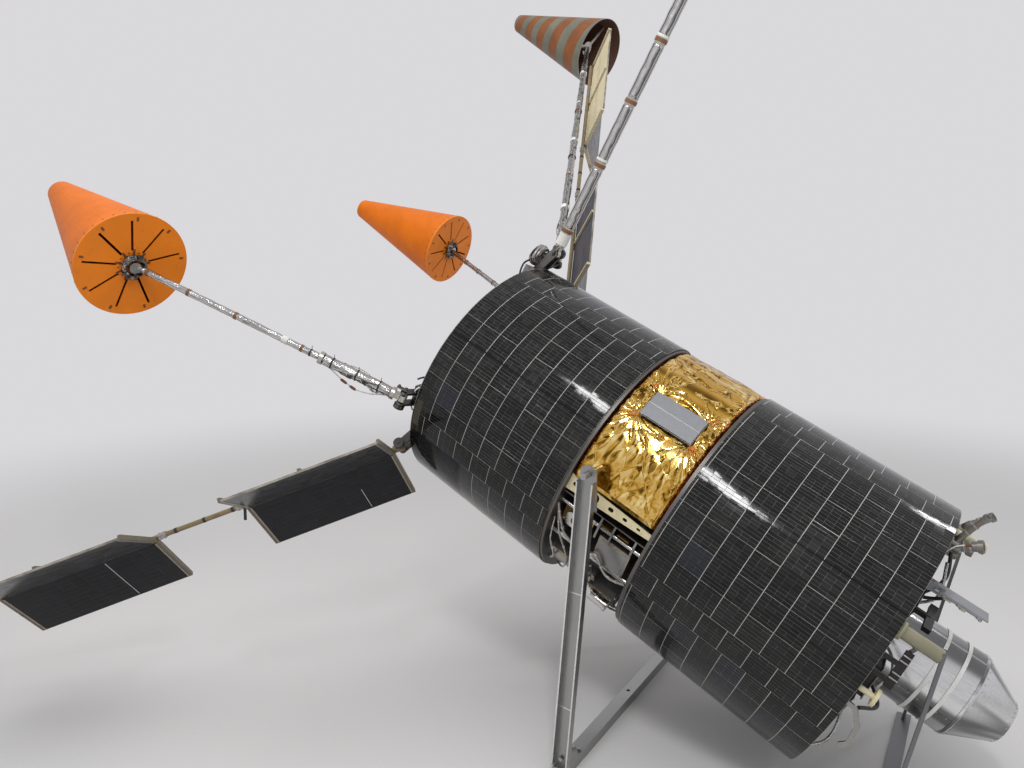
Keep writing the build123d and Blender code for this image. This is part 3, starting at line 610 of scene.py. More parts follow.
@dataclass(frozen=True)
class WingSkin:
    """Cells on the hollow side of a wing's V, cream boards on its back, bare metal at the edges."""

    name: str
    axes: Axes
    half_v: float
    board: tuple
    row: float = 0.0405
    cell: float = 0.0205
    gap: float = 0.0009
    front: tuple = (0.0024, 0.0027, 0.0042)
    board_line: tuple = (0.20, 0.12, 0.06)
    joint: tuple = (0.055, 0.055, 0.06)
    edge: tuple = ((0.13, 0.115, 0.09), (0.36, 0.33, 0.28))
    stripes: tuple = (0.092, 0.110)
    stripe_half: float = 0.0016
    facing: float = 0.6

    def build(self) -> Finish:
        """Make the material."""
        g = Graph(self.name)
        _, across, along = g.split(g.place(self.axes))
        across = g.math("DIVIDE", g.math("ABSOLUTE", across), math.sin(self.half_v))
        lean = g.facing(self.axes.x)
        front = g.math("GREATER_THAN", lean, self.facing)
        back = g.math("LESS_THAN", lean, -self.facing)
        tint = g.chance(g.index(along, self.row), g.index(across, self.cell), 2.0)
        joints = g.math("MAXIMUM", g.line(along, self.row, self.gap), g.line(across, self.cell, self.gap))
        cells = g.mix(tint.outputs[0], self.front, tuple(c * 3.0 for c in self.front))
        cells = g.mix(g.times(joints, 0.30), cells, self.joint)
        cloud = g.noise(g.place(), 14.0, 5.0, 0.6)
        pair = g.math("MAXIMUM", *(g.within(across, at, self.stripe_half) for at in self.stripes))
        board = g.mix(g.times(pair, 0.8), g.mottled(cloud, 0.3, 0.75, self.board, 0.82), self.board_line)
        base = g.mix(front, g.mix(back, g.mix(g.between(cloud, 0.3, 0.7), *self.edge), board), cells)
        rough = g.add(g.times(tint.outputs[0], 0.12), g.times(g.math("SUBTRACT", 1.0, front), 0.35), 0.14)
        g.set(Base_Color=base, Roughness=rough, Specular_IOR_Level=0.28)
        tilt = g.times(g.math("SUBTRACT", tint.outputs[0], 0.5), across, front, 0.02)
        g.bump(g.add(tilt, g.times(joints, front, -0.0003)), 1.0, 1.0)
        return g.material


@dataclass(frozen=True)
class SpinePaint:
    """Varnished tube along a wing, and the bars that leave it."""

    name: str
    axes: Axes
    tube: tuple
    bars: tuple
    reach: float = 0.020

    def build(self) -> Finish:
        """Make the material."""
        g = Graph(self.name)
        x, y, _ = g.split(g.place(self.axes))
        far = g.math("SQRT", g.add(g.times(x, x), g.times(y, y)))
        cloud = g.noise(g.place(), 30.0, 4.0, 0.65)
        colour = g.mix(g.math("GREATER_THAN", far, self.reach), self.tube, self.bars)
        g.set(Base_Color=g.mix(g.between(cloud, 0.5, 0.75, 0.0, 0.5), colour, (0.05, 0.04, 0.03)),
              Roughness=g.between(cloud, 0.2, 0.8, 0.35, 0.55))
        g.bump(cloud, 0.2, 0.0008)
        return g.material


@dataclass(frozen=True)
class SpiralStripes:
    """Two paints in stripes that wind round a cone."""

    name: str
    axes: Axes
    turns_per_metre: float
    tightening: float
    phase: float
    copper: tuple = (0.26, 0.085, 0.022)
    grey: tuple = (0.185, 0.18, 0.135)
    border: tuple = (0.10, 0.06, 0.035)
    grey_from: float = 0.52
    border_half: float = 0.012
    shade: float = 0.7

    def build(self) -> Finish:
        """Make the material."""
        g = Graph(self.name)
        x, y, z = g.split(g.place(self.axes))
        share = g.math("DIVIDE", g.math("ARCTAN2", y, x), math.tau)
        wobble = g.times(g.math("SUBTRACT", g.noise(g.place(), 30.0, 2.0), 0.5), 0.03)
        turns = g.times(z, g.add(g.times(z, self.tightening), self.turns_per_metre))
        wound = g.math("FRACT", g.add(turns, share, wobble, self.phase))
        border = g.math("MAXIMUM", *(g.within(wound, at, self.border_half) for at in (self.grey_from, 0.0)))
        cloud = g.noise(g.place(), 16.0, 5.0, 0.6)
        copper, grey = (g.mottled(cloud, 0.3, 0.75, paint, self.shade) for paint in (self.copper, self.grey))
        base = g.mix(g.math("GREATER_THAN", wound, self.grey_from), copper, grey)
        base = g.mix(g.times(border, 0.5), base, self.border)
        g.set(Base_Color=base, Roughness=g.between(cloud, 0.2, 0.8, 0.36, 0.55), Specular_IOR_Level=0.3)
        g.bump(g.add(cloud, g.times(border, -0.6)), 0.15, 0.0008)
        return g.material


# Meshes


@dataclass
class Shape:
    """A mesh under construction in row-frame metres, with a material number for each face."""

    name: str
    verts: list[Vector] = field(default_factory=list)
    faces: list[tuple[int, ...]] = field(default_factory=list)
    marks: list[int] = field(default_factory=list)

    def add(self, verts: Iterable[Vector], faces: Iterable[tuple[int, ...]], mark: int = 0) -> None:
        """Append points and faces.

        Args:
            verts: new points.
            faces: faces that count from the first new point.
            mark: number of the material.
        """
        first = len(self.verts)
        self.verts.extend(Vector(v) for v in verts)
        for face in faces:
            self.faces.append(tuple(first + i for i in face))
            self.marks.append(mark)

    def grid(self, rows: int, columns: int, place: Callable[[int, int], Vector], mark: int = 0,
             round_rows: bool = False, round_columns: bool = False) -> None:
        """Add a sheet of quads.

        Args:
            rows: points one way.
            columns: points the other way.
            place: gives each point.
            mark: number of the material.
            round_rows: join the last row to the first.
            round_columns: join the last column to the first.
        """
        verts = [place(i, j) for i in range(rows) for j in range(columns)]
        faces = []
        for i in range(rows if round_rows else rows - 1):
            for j in range(columns if round_columns else columns - 1):
                i2, j2 = (i + 1) % rows, (j + 1) % columns
                faces.append((i * columns + j, i * columns + j2, i2 * columns + j2, i2 * columns + j))
        self.add(verts, faces, mark)

    def lathe(self, axes: Axes, profile: Sequence[tuple[float, float]], segments: int = 96,
              mark: int = 0, closed: bool = True) -> None:
        """Turn a profile of (height, radius) about the z axis of a set of axes.

        Args:
            axes: the axes.
            profile: points of the outline; with closed, the last joins the first.
            segments: faces round the axis.
            mark: number of the material.
            closed: make a ring-like body.
        """
        def place(i: int, j: int) -> Vector:
            """One point."""
            height, radius = profile[i]
            angle = math.tau * j / segments
            return axes.at(radius * math.cos(angle), radius * math.sin(angle), height)
        self.grid(len(profile), segments, place, mark, round_rows=closed, round_columns=True)

    def band(self, axes: Axes, start: float, end: float, inner: float, outer: float, mark: int = 0,
             segments: int = 32) -> None:
        """Add a ring with softened edges about the z axis of a set of axes."""
        soft = min(0.3 * (outer - inner), 0.3 * (end - start), 0.0008)
        self.lathe(axes, ((start, inner), (start, outer - soft), (start + soft, outer),
                          (end - soft, outer), (end, outer - soft), (end, inner)), segments, mark)

    def sleeve(self, axes: Axes, start: float, end: float, radius: float, lift: float,
               crumple: Crumple, mark: int = 0, step: float = 0.004, segments: int = 28) -> None:
        """Add a crumpled tube of film about the z axis of a set of axes.

        Args:
            axes: the axes.
            start: where the film starts along z.
            end: where it ends.
            radius: its least radius.
            lift: how far its folds stand out.
            crumple: the folds.
            mark: number of the material.
            step: length of one ring of faces.
            segments: faces round it.
        """
        rings = max(3, round((end - start) / step))

        def place(i: int, j: int) -> Vector:
            """One point."""
            height, angle = start + (end - start) * i / rings, math.tau * j / segments
            mirrored = abs(angle - math.pi) * radius
            size = radius + lift * crumple.height(height, mirrored)
            if i in (0, rings):
                size = radius - 0.0005
            return axes.at(size * math.cos(angle), size * math.sin(angle), height)
        self.grid(rings + 1, segments, place, mark, round_columns=True)

    def tube(self, points: Sequence[Vector], radius: float | Sequence[float], sides: int = 12,
             mark: int = 0) -> None:
        """Add a capped tube along points.

        Args:
            points: its line.
            radius: one radius or one for each point.
            sides: faces round it.
            mark: number of the material.
        """
        points = [Vector(p) for p in points]
        sizes = [radius] * len(points) if isinstance(radius, (int, float)) else list(radius)
        ways = [(points[min(i + 1, len(points) - 1)] - points[max(i - 1, 0)]).normalized()
                for i in range(len(points))]
        side, rings = ways[0].orthogonal().normalized(), []
        for point, way, size in zip(points, ways, sizes):
            side = (side - way * side.dot(way)).normalized()
            other = way.cross(side)
            rings.append([point + (side * math.cos(angle) + other * math.sin(angle)) * size
                          for angle in (math.tau * j / sides for j in range(sides))])
        first = len(self.verts)
        self.grid(len(points), sides, lambda i, j: rings[i][j], mark, round_columns=True)
        last = len(self.verts) - sides
        self.faces += [tuple(reversed(range(first, first + sides))), tuple(range(last, last + sides))]
        self.marks += [mark, mark]

    def block(self, axes: Axes, size: Sequence[float], mark: int = 0) -> None:
        """Add a box about the origin of a set of axes."""
        corners = [axes.at(sx * size[0] / 2, sy * size[1] / 2, sz * size[2] / 2)
                   for sx in (-1, 1) for sy in (-1, 1) for sz in (-1, 1)]
        self.add(corners, ((0, 1, 3, 2), (4, 6, 7, 5), (0, 4, 5, 1), (2, 3, 7, 6), (0, 2, 6, 4),
                           (1, 5, 7, 3)), mark)

    def finish(self, body: Body, slot: Slot, finishes: Sequence[Finish], bevel: float = 0.0,
               sharp: float = 35.0) -> bpy.types.Object:
        """Make the object, with outward faces, and let it ride on its body.

        Args:
            body: the body that it moves with.
            slot: the record's slot of its finish; not used.
            finishes: materials by number.
            bevel: width of rounded edges, or 0.
            sharp: angle in degrees past which an edge stays hard.

        Returns:
            The finished object.
        """
        mesh = bpy.data.meshes.new(self.name)
        mesh.from_pydata([tuple(v) for v in self.verts], [], self.faces)
        for face, mark in zip(mesh.polygons, self.marks):
            face.material_index = mark
        work = bmesh.new()
        work.from_mesh(mesh)
        bmesh.ops.remove_doubles(work, verts=work.verts, dist=1e-6)
        bmesh.ops.recalc_face_normals(work, faces=work.faces)
        if bevel:
            edges = [e for e in work.edges if len(e.link_faces) == 2 and e.calc_face_angle() > 0.5]
            bmesh.ops.bevel(work, geom=edges, offset=bevel, segments=2, profile=0.5, affect="EDGES",
                            clamp_overlap=True)
        work.to_mesh(mesh)
        work.free()
        for finish in finishes:
            mesh.materials.append(finish)
        mesh.shade_smooth()
        mesh.set_sharp_from_angle(angle=math.radians(sharp))
        return set_down(mesh, body, slot)


def set_down(mesh: bpy.types.Mesh, body: Body, slot: Slot) -> bpy.types.Object:
    """Put a finished mesh in the scene and let it ride on its body."""
    made = bpy.data.objects.new(mesh.name, mesh)
    bpy.context.scene.collection.objects.link(made)
    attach(made, body.value)
    LOG.info("%s: %d faces on %s", mesh.name, len(mesh.polygons), body.value)
    return made


def dress(finish: Finish, *nodes: str) -> None:
    """Give CAD nodes their material."""
    for node in nodes:
        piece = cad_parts[node]
        piece.data.materials.clear()
        piece.data.materials.append(finish)


# Node groups for what repeats


class Repeats(Nodes):
    """Node group that sets one small form on each vertex of a mesh, along its "way" attribute."""

    def __init__(self, name: str) -> None:
        """Start the group with the inputs that both forms have."""
        super().__init__(bpy.data.node_groups.new(name, "GeometryNodeTree"))
        sockets = (("Points", "Geometry"), ("Radius", "Float"), ("Height", "Float"), ("Top", "Float"),
                   ("Sides", "Int"), ("Seed", "Int"), ("Finish", "Material"))
        for label, kind in sockets:
            self.tree.interface.new_socket(label, in_out="INPUT", socket_type=f"NodeSocket{kind}")
        self.tree.interface.new_socket("Pieces", in_out="OUTPUT", socket_type="NodeSocketGeometry")
        self.given = self.node("NodeGroupInput", {})

    def head(self) -> Socket:
        """A screw, rivet or bolt head with its narrower top."""
        given = self.given.outputs
        top = self.node("ShaderNodeMath", {0: given["Radius"], 1: given["Top"]}, operation="MULTIPLY")
        return self.node("GeometryNodeMeshCone", {
            "Vertices": given["Sides"], "Radius Top": top.outputs[0], "Radius Bottom": given["Radius"],
            "Depth": given["Height"]}).outputs["Mesh"]

    def ring(self) -> Socket:
        """A wire ring of the given radius; Height is the wire's radius."""
        given = self.given.outputs
        line, wire = (self.node("GeometryNodeCurvePrimitiveCircle", {"Resolution": sides, "Radius": size})
                      for sides, size in ((given["Sides"], given["Radius"]), (8, given["Height"])))
        return self.node("GeometryNodeCurveToMesh", {"Curve": line.outputs["Curve"],
                                                     "Profile Curve": wire.outputs["Curve"]}).outputs["Mesh"]

    def close(self, form: Socket) -> None:
        """Set the form on the points, turned along "way" with a seeded spin, and make it real."""
        given = self.given.outputs
        way = self.node("GeometryNodeInputNamedAttribute", {"Name": "way"}, data_type="FLOAT_VECTOR")
        aligned = self.node("FunctionNodeAlignRotationToVector", {"Vector": way.outputs[0]}, axis="Z")
        spin = self.node("FunctionNodeRandomValue", {"Seed": given["Seed"], 3: math.tau}, data_type="FLOAT")
        turned = self.node("FunctionNodeAxisAngleToRotation", {"Axis": (0, 0, 1), "Angle": spin.outputs[1]})
        both = self.node("FunctionNodeRotateRotation", {"Rotation": aligned.outputs[0],
                                                        "Rotate By": turned.outputs[0]},
                         rotation_space="LOCAL")
        placed = self.node("GeometryNodeInstanceOnPoints", {
            "Points": given["Points"], "Instance": form, "Rotation": both.outputs[0]})
        real = self.node("GeometryNodeRealizeInstances", {"Geometry": placed.outputs[0]})
        done = self.node("GeometryNodeSetMaterial", {"Geometry": real.outputs[0],
                                                     "Material": given["Finish"]})
        self.node("NodeGroupOutput", {0: done.outputs[0]})


@dataclass(frozen=True)
class Row:
    """Places and directions for one kind of small repeated form on one body."""

    name: str
    body: Body
    slot: Slot
    radius: float
    height: float
    top: float = 0.75
    sides: int = 12
    seed: int = 4
    sharp: float = 30.0

    def lay(self, repeats: Repeats, finish: Finish, spots: Sequence[tuple[Vector, Vector]]) -> None:
        """Make the plain mesh of all copies.

        Args:
            repeats: the node group.
            finish: their material.
            spots: each one's place and direction.
        """
        mesh = bpy.data.meshes.new(f"{self.name}_points")
        mesh.from_pydata([tuple(place) for place, _ in spots], [], [])
        ways = mesh.attributes.new("way", "FLOAT_VECTOR", "POINT")
        for number, (_, way) in enumerate(spots):
            ways.data[number].vector = way
        carrier = bpy.data.objects.new(f"{self.name}_points", mesh)
        bpy.context.scene.collection.objects.link(carrier)
        modifier = carrier.modifiers.new("repeats", "NODES")
        modifier.node_group = repeats.tree
        values = {"Radius": self.radius, "Height": self.height, "Top": self.top, "Sides": self.sides,
                  "Seed": self.seed, "Finish": finish}
        for item in repeats.tree.interface.items_tree:
            if item.item_type == "SOCKET" and item.in_out == "INPUT" and item.name in values:
                modifier[item.identifier] = values[item.name]
        evaluated = carrier.evaluated_get(bpy.context.evaluated_depsgraph_get())
        made = bpy.data.meshes.new_from_object(evaluated)
        made.name = self.name
        made.shade_smooth()
        made.set_sharp_from_angle(angle=math.radians(self.sharp))
        carrier.modifiers.remove(modifier)
        bpy.data.objects.remove(carrier)
        set_down(made, self.body, self.slot)


@dataclass
class Kit:
    """What every sub-assembly shares: the two node groups and the common finishes."""

    heads: Repeats = field(default_factory=lambda: Repeats("heads on points"))
    rings: Repeats = field(default_factory=lambda: Repeats("rings on points"))

    def __post_init__(self) -> None:
        """Close the groups and make the common finishes."""
        self.heads.close(self.heads.head())
        self.rings.close(self.rings.ring())
        self.screw = Metal("screw steel", (0.46, 0.45, 0.43), 0.3, stain_share=0.4).build()
        # silver film and dark wad: pale and deep are painted highlight and painted dark reflection
        self.silver = Film("silver film", (0.88, 0.88, 0.87), (0.46, 0.455, 0.44), (0.13, 0.125, 0.115),
                           0.22, 90.0, 2.2, 0.4).build()
        self.wad = Film("dark wad", (0.46, 0.45, 0.43), (0.15, 0.145, 0.14), (0.035, 0.034, 0.032),
                        0.32, 80.0, 3.0, 0.6).build()
        self.tape = Paint("copper tape", (0.200, 0.086, 0.034), (0.10, 0.05, 0.03), 0.6).build()
        self.white = Paint("white tape", (0.74, 0.73, 0.69), roughness=0.6).build()
        self.black = Paint("black sheath", (0.014, 0.014, 0.015), (0.09, 0.08, 0.07), 0.3).build()
        self.braid = Metal("braided sheath", (0.50, 0.48, 0.45), 0.38, stretch=(60.0, 60.0, 60.0),
                           grain=8.0, bump=0.5, stain_share=0.5).build()
        self.brown = Paint("brown moulding", (0.16, 0.055, 0.02), (0.05, 0.02, 0.01), 0.3, 0.4).build()

    def screws(self, name: str, body: Body, radius: float, height: float, top: float,
               spots: Sequence[tuple[Vector, Vector]], sides: int = 12, slot: Slot = Slot.STEEL,
               finish: Finish | None = None) -> None:
        """Set screws, bolts or rivets on a body.

        Args:
            name: the piece's name.
            body: the body that it rides on.
            radius: radius of a head.
            height: height of a head.
            top: share of the radius at its top.
            spots: each one's place and direction.
            sides: sides of a head.
            slot: the record's slot of its finish; not used.
            finish: its finish, or None for screw steel.
        """
        row = Row(name, body, slot, radius, height, top, sides)
        row.lay(self.heads, finish or self.screw, spots)


# The drums


@dataclass
class Drums:
    """The two drum skins with their edge bands, seams and rivets, and the decks that close them."""

    kit: Kit
    spans: tuple = (("upper_drum", -0.680, -0.144), ("lower_drum", 0.144, 0.694))
    first_rows: tuple = (-0.6785, 0.1526)
    rows: tuple = (0.06685, 0.0677)
    seam_turns: tuple = (150.7, 145.0)
    skin: float = 0.005
    band: float = 0.014
    lip: float = 0.0012
    seam_half: float = 0.0022
    seam_depth: float = 0.0022
    panels: int = 4
    steps: int = 66
    patch_grid: tuple = (8, 22)
    patch_from: tuple = (-0.674, 184.5)
    patch_steps: tuple = (0.0035, 0.62)
    patch_wave: float = 0.0016
    patch_lift: float = 0.0003
    rivet_planes: tuple = ((-0.666, -1), (0.680, 1))
    rivet_ring: float = 0.380
    rivets_round: int = 36
    rib_from: float = 0.16
    rib_pitch: float = 0.033
    rib_side: float = 0.7
    ribs: int = 8
    rivets_per_rib: int = 7

    def outline(self, number: int) -> list[tuple[float, float]]:
        """Turn and radius of each point round one drum, with a groove at each seam."""
        seam, span = math.degrees(self.seam_half / DRUM.radius), 360 / self.panels
        low = DRUM.radius - self.seam_depth
        around = []
        for panel in range(self.panels):
            first = self.seam_turns[number] + panel * span
            around += [(first - seam, low), (first - seam * 0.8, low), (first + seam * 0.8, low)]
            around += [(first + seam + (span - 2 * seam) * step / self.steps, DRUM.radius)
                       for step in range(self.steps + 1)]
        return around

    def skin_piece(self, number: int, cells: Finish, edge: Finish) -> None:
        """Build one drum's skin as curved panels with grooves between them.

        Args:
            number: which drum.
            cells: finish of its outside.
            edge: finish of its rims and inside.
        """
        node, start, end = self.spans[number]
        shape = Shape(f"{node}_skin")
        around = self.outline(number)
        wall, lap = DRUM.radius - self.skin, DRUM.radius - 2 * self.skin
        outer = ((start, self.lip), (start + self.lip, 0.0), (end - self.lip, 0.0), (end, self.lip))
        inner = ((start, lap), (start + self.band, lap), (start + self.band, wall),
                 (end - self.band, wall), (end - self.band, lap), (end, lap))

        def outside(i: int, j: int) -> Vector:
            """Point of the outer face."""
            return DRUM.rim(outer[i][0], around[j][1] - outer[i][1], around[j][0])

        def inside(i: int, j: int) -> Vector:
            """Point of the inner face and its turned-in bands."""
            return DRUM.rim(inner[i][0], inner[i][1], around[j][0])
        shape.grid(len(outer), len(around), outside, 0, round_columns=True)
        shape.grid(len(inner), len(around), inside, 1, round_columns=True)
        for low, high in ((0, 0), (len(outer) - 1, len(inner) - 1)):
            def rim_face(i: int, j: int, low: int = low, high: int = high) -> Vector:
                """Point of the ring that joins the outer and inner face."""
                return outside(low, j) if i == 0 else inside(high, j)
            shape.grid(2, len(around), rim_face, 1, round_columns=True)
        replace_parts(shape.finish(Body.BUS, Slot.CELLS, (cells, edge), sharp=25), node)

    def patch(self) -> None:
        """Build the bare, yellowed strip where cells are lost by the near boom's root."""
        shape, (start, turn), (along, around) = Shape("bare_patch"), self.patch_from, self.patch_steps
        shape.grid(*self.patch_grid, lambda i, j: DRUM.rim(
            start + along * i + self.patch_wave * math.sin(j * 1.9), DRUM.radius + self.patch_lift,
            turn + around * j))
        bare = Paint("bare patch", (0.050, 0.045, 0.026), (0.01, 0.01, 0.008), 0.6, 0.6, 140.0).build()
        shape.finish(Body.BUS, Slot.CELLS, (bare,))

    def rivets(self) -> None:
        """Set rivets round the decks and along their ribs."""
        spots = []
        for u, side in self.rivet_planes:
            way = DRUM.way(side, 0, 0)
            spots += [(DRUM.rim(u, self.rivet_ring, (number + 0.5) * 360 / self.rivets_round), way)
                      for number in range(self.rivets_round)]
            for rib in range(self.ribs):
                for step in range(self.rivets_per_rib):
                    radius, turn = self.rib_from + self.rib_pitch * step, (rib + 0.5) * 360 / self.ribs
                    spots += [(DRUM.rim(u, radius, turn + off / radius), way)
                              for off in (-self.rib_side, self.rib_side)]
        self.kit.screws("deck_rivets", Body.BUS, 0.0032, 0.0016, 0.6, spots)

    def build(self) -> None:
        """Build both drums and finish their decks."""
        edge = Metal("drum edge", (0.10, 0.098, 0.095), 0.4).build()
        for number, (node, _, _) in enumerate(self.spans):
            cells = DrumCells(f"cells {node}", self.first_rows[number], self.rows[number],
                              self.seam_turns[number]).build()
            self.skin_piece(number, cells, edge)
        self.patch()
        self.rivets()
        deck = Metal("deck", (0.33, 0.32, 0.31), 0.42, stain_share=0.4).build()
        dress(deck, "upper_deck", "lower_deck")
        dress(Metal("waist frame", (0.17, 0.16, 0.15), 0.45, stain_share=0.5).build(), "waist_frame")


# The waist


@dataclass
class Waist:
    """Gold film round the waist with its flat plate, orange lacing and pierced brackets."""

    kit: Kit
    radius: float = 0.384
    start: float = -0.136
    end: float = 0.136
    from_turn: float = 8.0
    to_turn: float = 171.0
    along: int = 132
    around: int = 540
    plate_u: tuple = (-0.075, 0.083)
    plate_turns: tuple = (122.9, 136.1)
    plate_top: float = 0.392
    edge_rows: int = 6
    end_rows: int = 6
    tuck_rows: int = 8
    tuck: float = 0.012
    most: float = 0.0135
    clear: float = 0.001
    flat_share: float = 0.25
    fade: float = 0.022
    heights: dict = field(default_factory=lambda: {
        "large": 0.0058, "small": 0.0008, "fine": 0.0004, "pull": 0.0064, "pillow": 0.0015, "drape": 0.0042})
    trim: tuple = (((0, 0.001, 0.0002), (0.156, 0.0011, 0.0006), 0),
                   ((0.004, -0.0445, -0.0025), (0.150, 0.0040, 0.0065), 1),
                   ((0.0797, -0.006, -0.0025), (0.0032, 0.078, 0.0065), 1),
                   ((-0.0795, 0.0, -0.0035), (0.0018, 0.086, 0.0065), 1))
    strands: int = 5
    lace_radii: tuple = (0.3905, 0.3975, 0.3925)
    lace_r: float = 0.0007
    loop_rows: tuple = (-0.122, 0.122)
    loop_turns: range = range(12, 168, 9)
    large: Crumple = Crumple(7.5, 3, 4, 0.8, 0.6)
    small: Crumple = Crumple(26.0, 8, 3, 0.9)
    fine: Crumple = Crumple(90.0, 5, 4, 0.6)

    def corners(self) -> list[tuple[float, float]]:
        """The plate's corners: place along the drum and round it, as lengths."""
        return [(u, math.radians(turn) * self.radius) for u in self.plate_u for turn in self.plate_turns]

    def drape(self, u: float, arc: float) -> float:
        """Long folds along the drum above the plate, from 0 to 1."""
        bend = noise.noise(Vector((u * 7, arc * 7, 2.0))) * 1.5
        bend += noise.noise(Vector((u * 22, arc * 16, 5.0))) * 0.5
        wave = abs(math.sin(arc * 62 + u * 6 + bend * 2.2)) ** 0.75
        return wave * (0.5 - 0.5 * math.tanh((arc - 0.77) * 26))

    def lift(self, u: float, turn: float) -> float:
        """Height of the film above its sheet.

        Args:
            u: place along the drum.
            turn: place round the drum in degrees.

        Returns:
            The height in metres, from 0 to about 12 mm.
        """
        arc = math.radians(turn) * self.radius
        pull = 0.0
        for corner_u, corner_arc in self.corners():
            du, da = u - corner_u, arc - corner_arc
            far = math.hypot(du, da)
            ray = math.atan2(da, du) * 4.4 + noise.noise(Vector((du, da, corner_u)) * 10) * 1.3
            pull += (abs(math.sin(ray * math.pi / 2)) ** 0.8 * math.exp(-far / 0.15)
                     * min(1.0, far / 0.045))
        tight = 0.5 + 0.5 * math.tanh((arc - 1.02) * 18 + (u - 0.04) * 9)
        parts = {"large": self.large.height(u * 1.35, arc * 0.7),
                 "small": self.small.height(u * 1.5, arc * 0.6),
                 "fine": self.fine.height(u, arc) * tight,
                 "pull": pull,
                 "pillow": math.cos(max(-1.0, min(1.0, u / 0.15)) * math.pi / 2),
                 "drape": self.drape(u, arc)}
        return sum(height * parts[part] for part, height in self.heights.items())

    def near_plate(self, u: float, turn: float) -> float:
        """0 under the plate, growing to 1 away from it."""
        low, high = self.plate_turns
        round_it = math.radians(max(low - turn, turn - high)) * self.radius
        away = max(self.plate_u[0] - u, u - self.plate_u[1], round_it)
        return min(1.0, max(0.0, away) / self.fade)

    def foil(self, film: Finish, edging: Finish) -> None:
        """Build the film as one creased sheet, tucked in at both drums, with edging along them."""
        shape = Shape("waist_film")

        def place(i: int, j: int) -> Vector:
            """One point of the sheet."""
            u = self.start + (self.end - self.start) * i / (self.along - 1)
            turn = self.from_turn + (self.to_turn - self.from_turn) * j / (self.around - 1)
            edge = min(1.0, min(i, self.along - 1 - i) / self.tuck_rows)
            end = min(1.0, min(j, self.around - 1 - j) / self.end_rows)
            lift = self.lift(u, turn) * (0.35 + 0.65 * edge) + self.clear
            lift *= self.flat_share + (1 - self.flat_share) * self.near_plate(u, turn)
            sunk = self.tuck * (1 - edge) ** 2
            return DRUM.rim(u, self.radius + self.clear + min(lift * end, self.most) - sunk, turn)
        last = self.along - self.edge_rows
        for first, rows, mark in ((0, self.edge_rows + 1, 1), (self.edge_rows, last - self.edge_rows, 0),
                                  (last - 1, self.edge_rows + 1, 1)):
            shape.grid(rows, self.around, lambda i, j, first=first: place(i + first, j), mark)
        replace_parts(shape.finish(Body.BUS, Slot.FOIL, (film, edging), sharp=14), "foil_wrap")

    def plate_trim(self) -> None:
        """Build the plate's thin white line and the dark edging on two of its sides."""
        middle = (self.plate_u[0] + self.plate_u[1]) / 2
        axes = DRUM.on_rim(middle, self.plate_top, sum(self.plate_turns) / 2)
        shape = Shape("plate_trim")
        for offset, size, mark in self.trim:
            shape.block(axes.moved(*offset), size, mark)
        shape.finish(Body.BUS, Slot.DARK, (self.kit.white, self.kit.black), bevel=0.0003)

    def lacing(self, thread: Finish) -> None:
        """Build the orange threads at the plate's corners and along the drums' edges."""
        shape, (low, high, end) = Shape("lacing"), self.lace_radii
        for number, (u, arc) in enumerate(self.corners()):
            turn = math.degrees(arc / self.radius)
            side, round_it = (-1 if u < 0 else 1), (-1 if number % 2 == 0 else 1)
            for strand in range(self.strands):
                swing = math.sin(strand * 2.3 + number) * 1.6
                reach = 0.034 + 0.010 * math.cos(strand * 1.7 + number)
                points = [DRUM.rim(u, low, turn + round_it * 0.4 * strand),
                          DRUM.rim(u + side * reach * 0.4, high, turn + round_it * (1.2 + swing)),
                          DRUM.rim(u + side * reach, end, turn + round_it * (0.6 + 0.8 * strand))]
                shape.tube(smooth_path(points, 6), self.lace_r, 6)
        shape.finish(Body.BUS, Slot.FOIL, (thread,), sharp=80)
        spots = [(DRUM.rim(u, end, turn), DRUM.out(turn + 60))
                 for u in self.loop_rows for turn in self.loop_turns]
        Row("lacing_loops", Body.BUS, Slot.FOIL, 0.0036, 0.0006, 1.0, 10).lay(self.kit.rings, thread, spots)

    def build(self) -> None:
        """Build the film and finish the plate and brackets."""
        # gold film and orange edging: pale and deep are painted highlight and painted dark reflection
        film = Film("gold film", (1.0, 0.80, 0.36), (0.66, 0.37, 0.055), (0.10, 0.050, 0.008), 0.12,
                    11.0, 3.4, 0.12, 3).build()
        edging = Film("orange edging", (0.9, 0.45, 0.12), (0.62, 0.21, 0.03), (0.22, 0.07, 0.015), 0.2, 60.0,
                      3.0, 0.4).build()
        self.foil(film, edging)
        self.plate_trim()
        self.lacing(Paint("orange thread", (0.72, 0.22, 0.03), (0.25, 0.08, 0.02), 0.3, 0.6).build())
        dress(Metal("plate", (0.34, 0.35, 0.37), 0.40, DRUM.axes(), grain=80).build(), "louvre_plate")
        bracket = Paint("bracket paint", (0.78, 0.69, 0.43), (0.16, 0.11, 0.06), 0.4, 0.4)
        dress(bracket.build(), "bay_brackets")


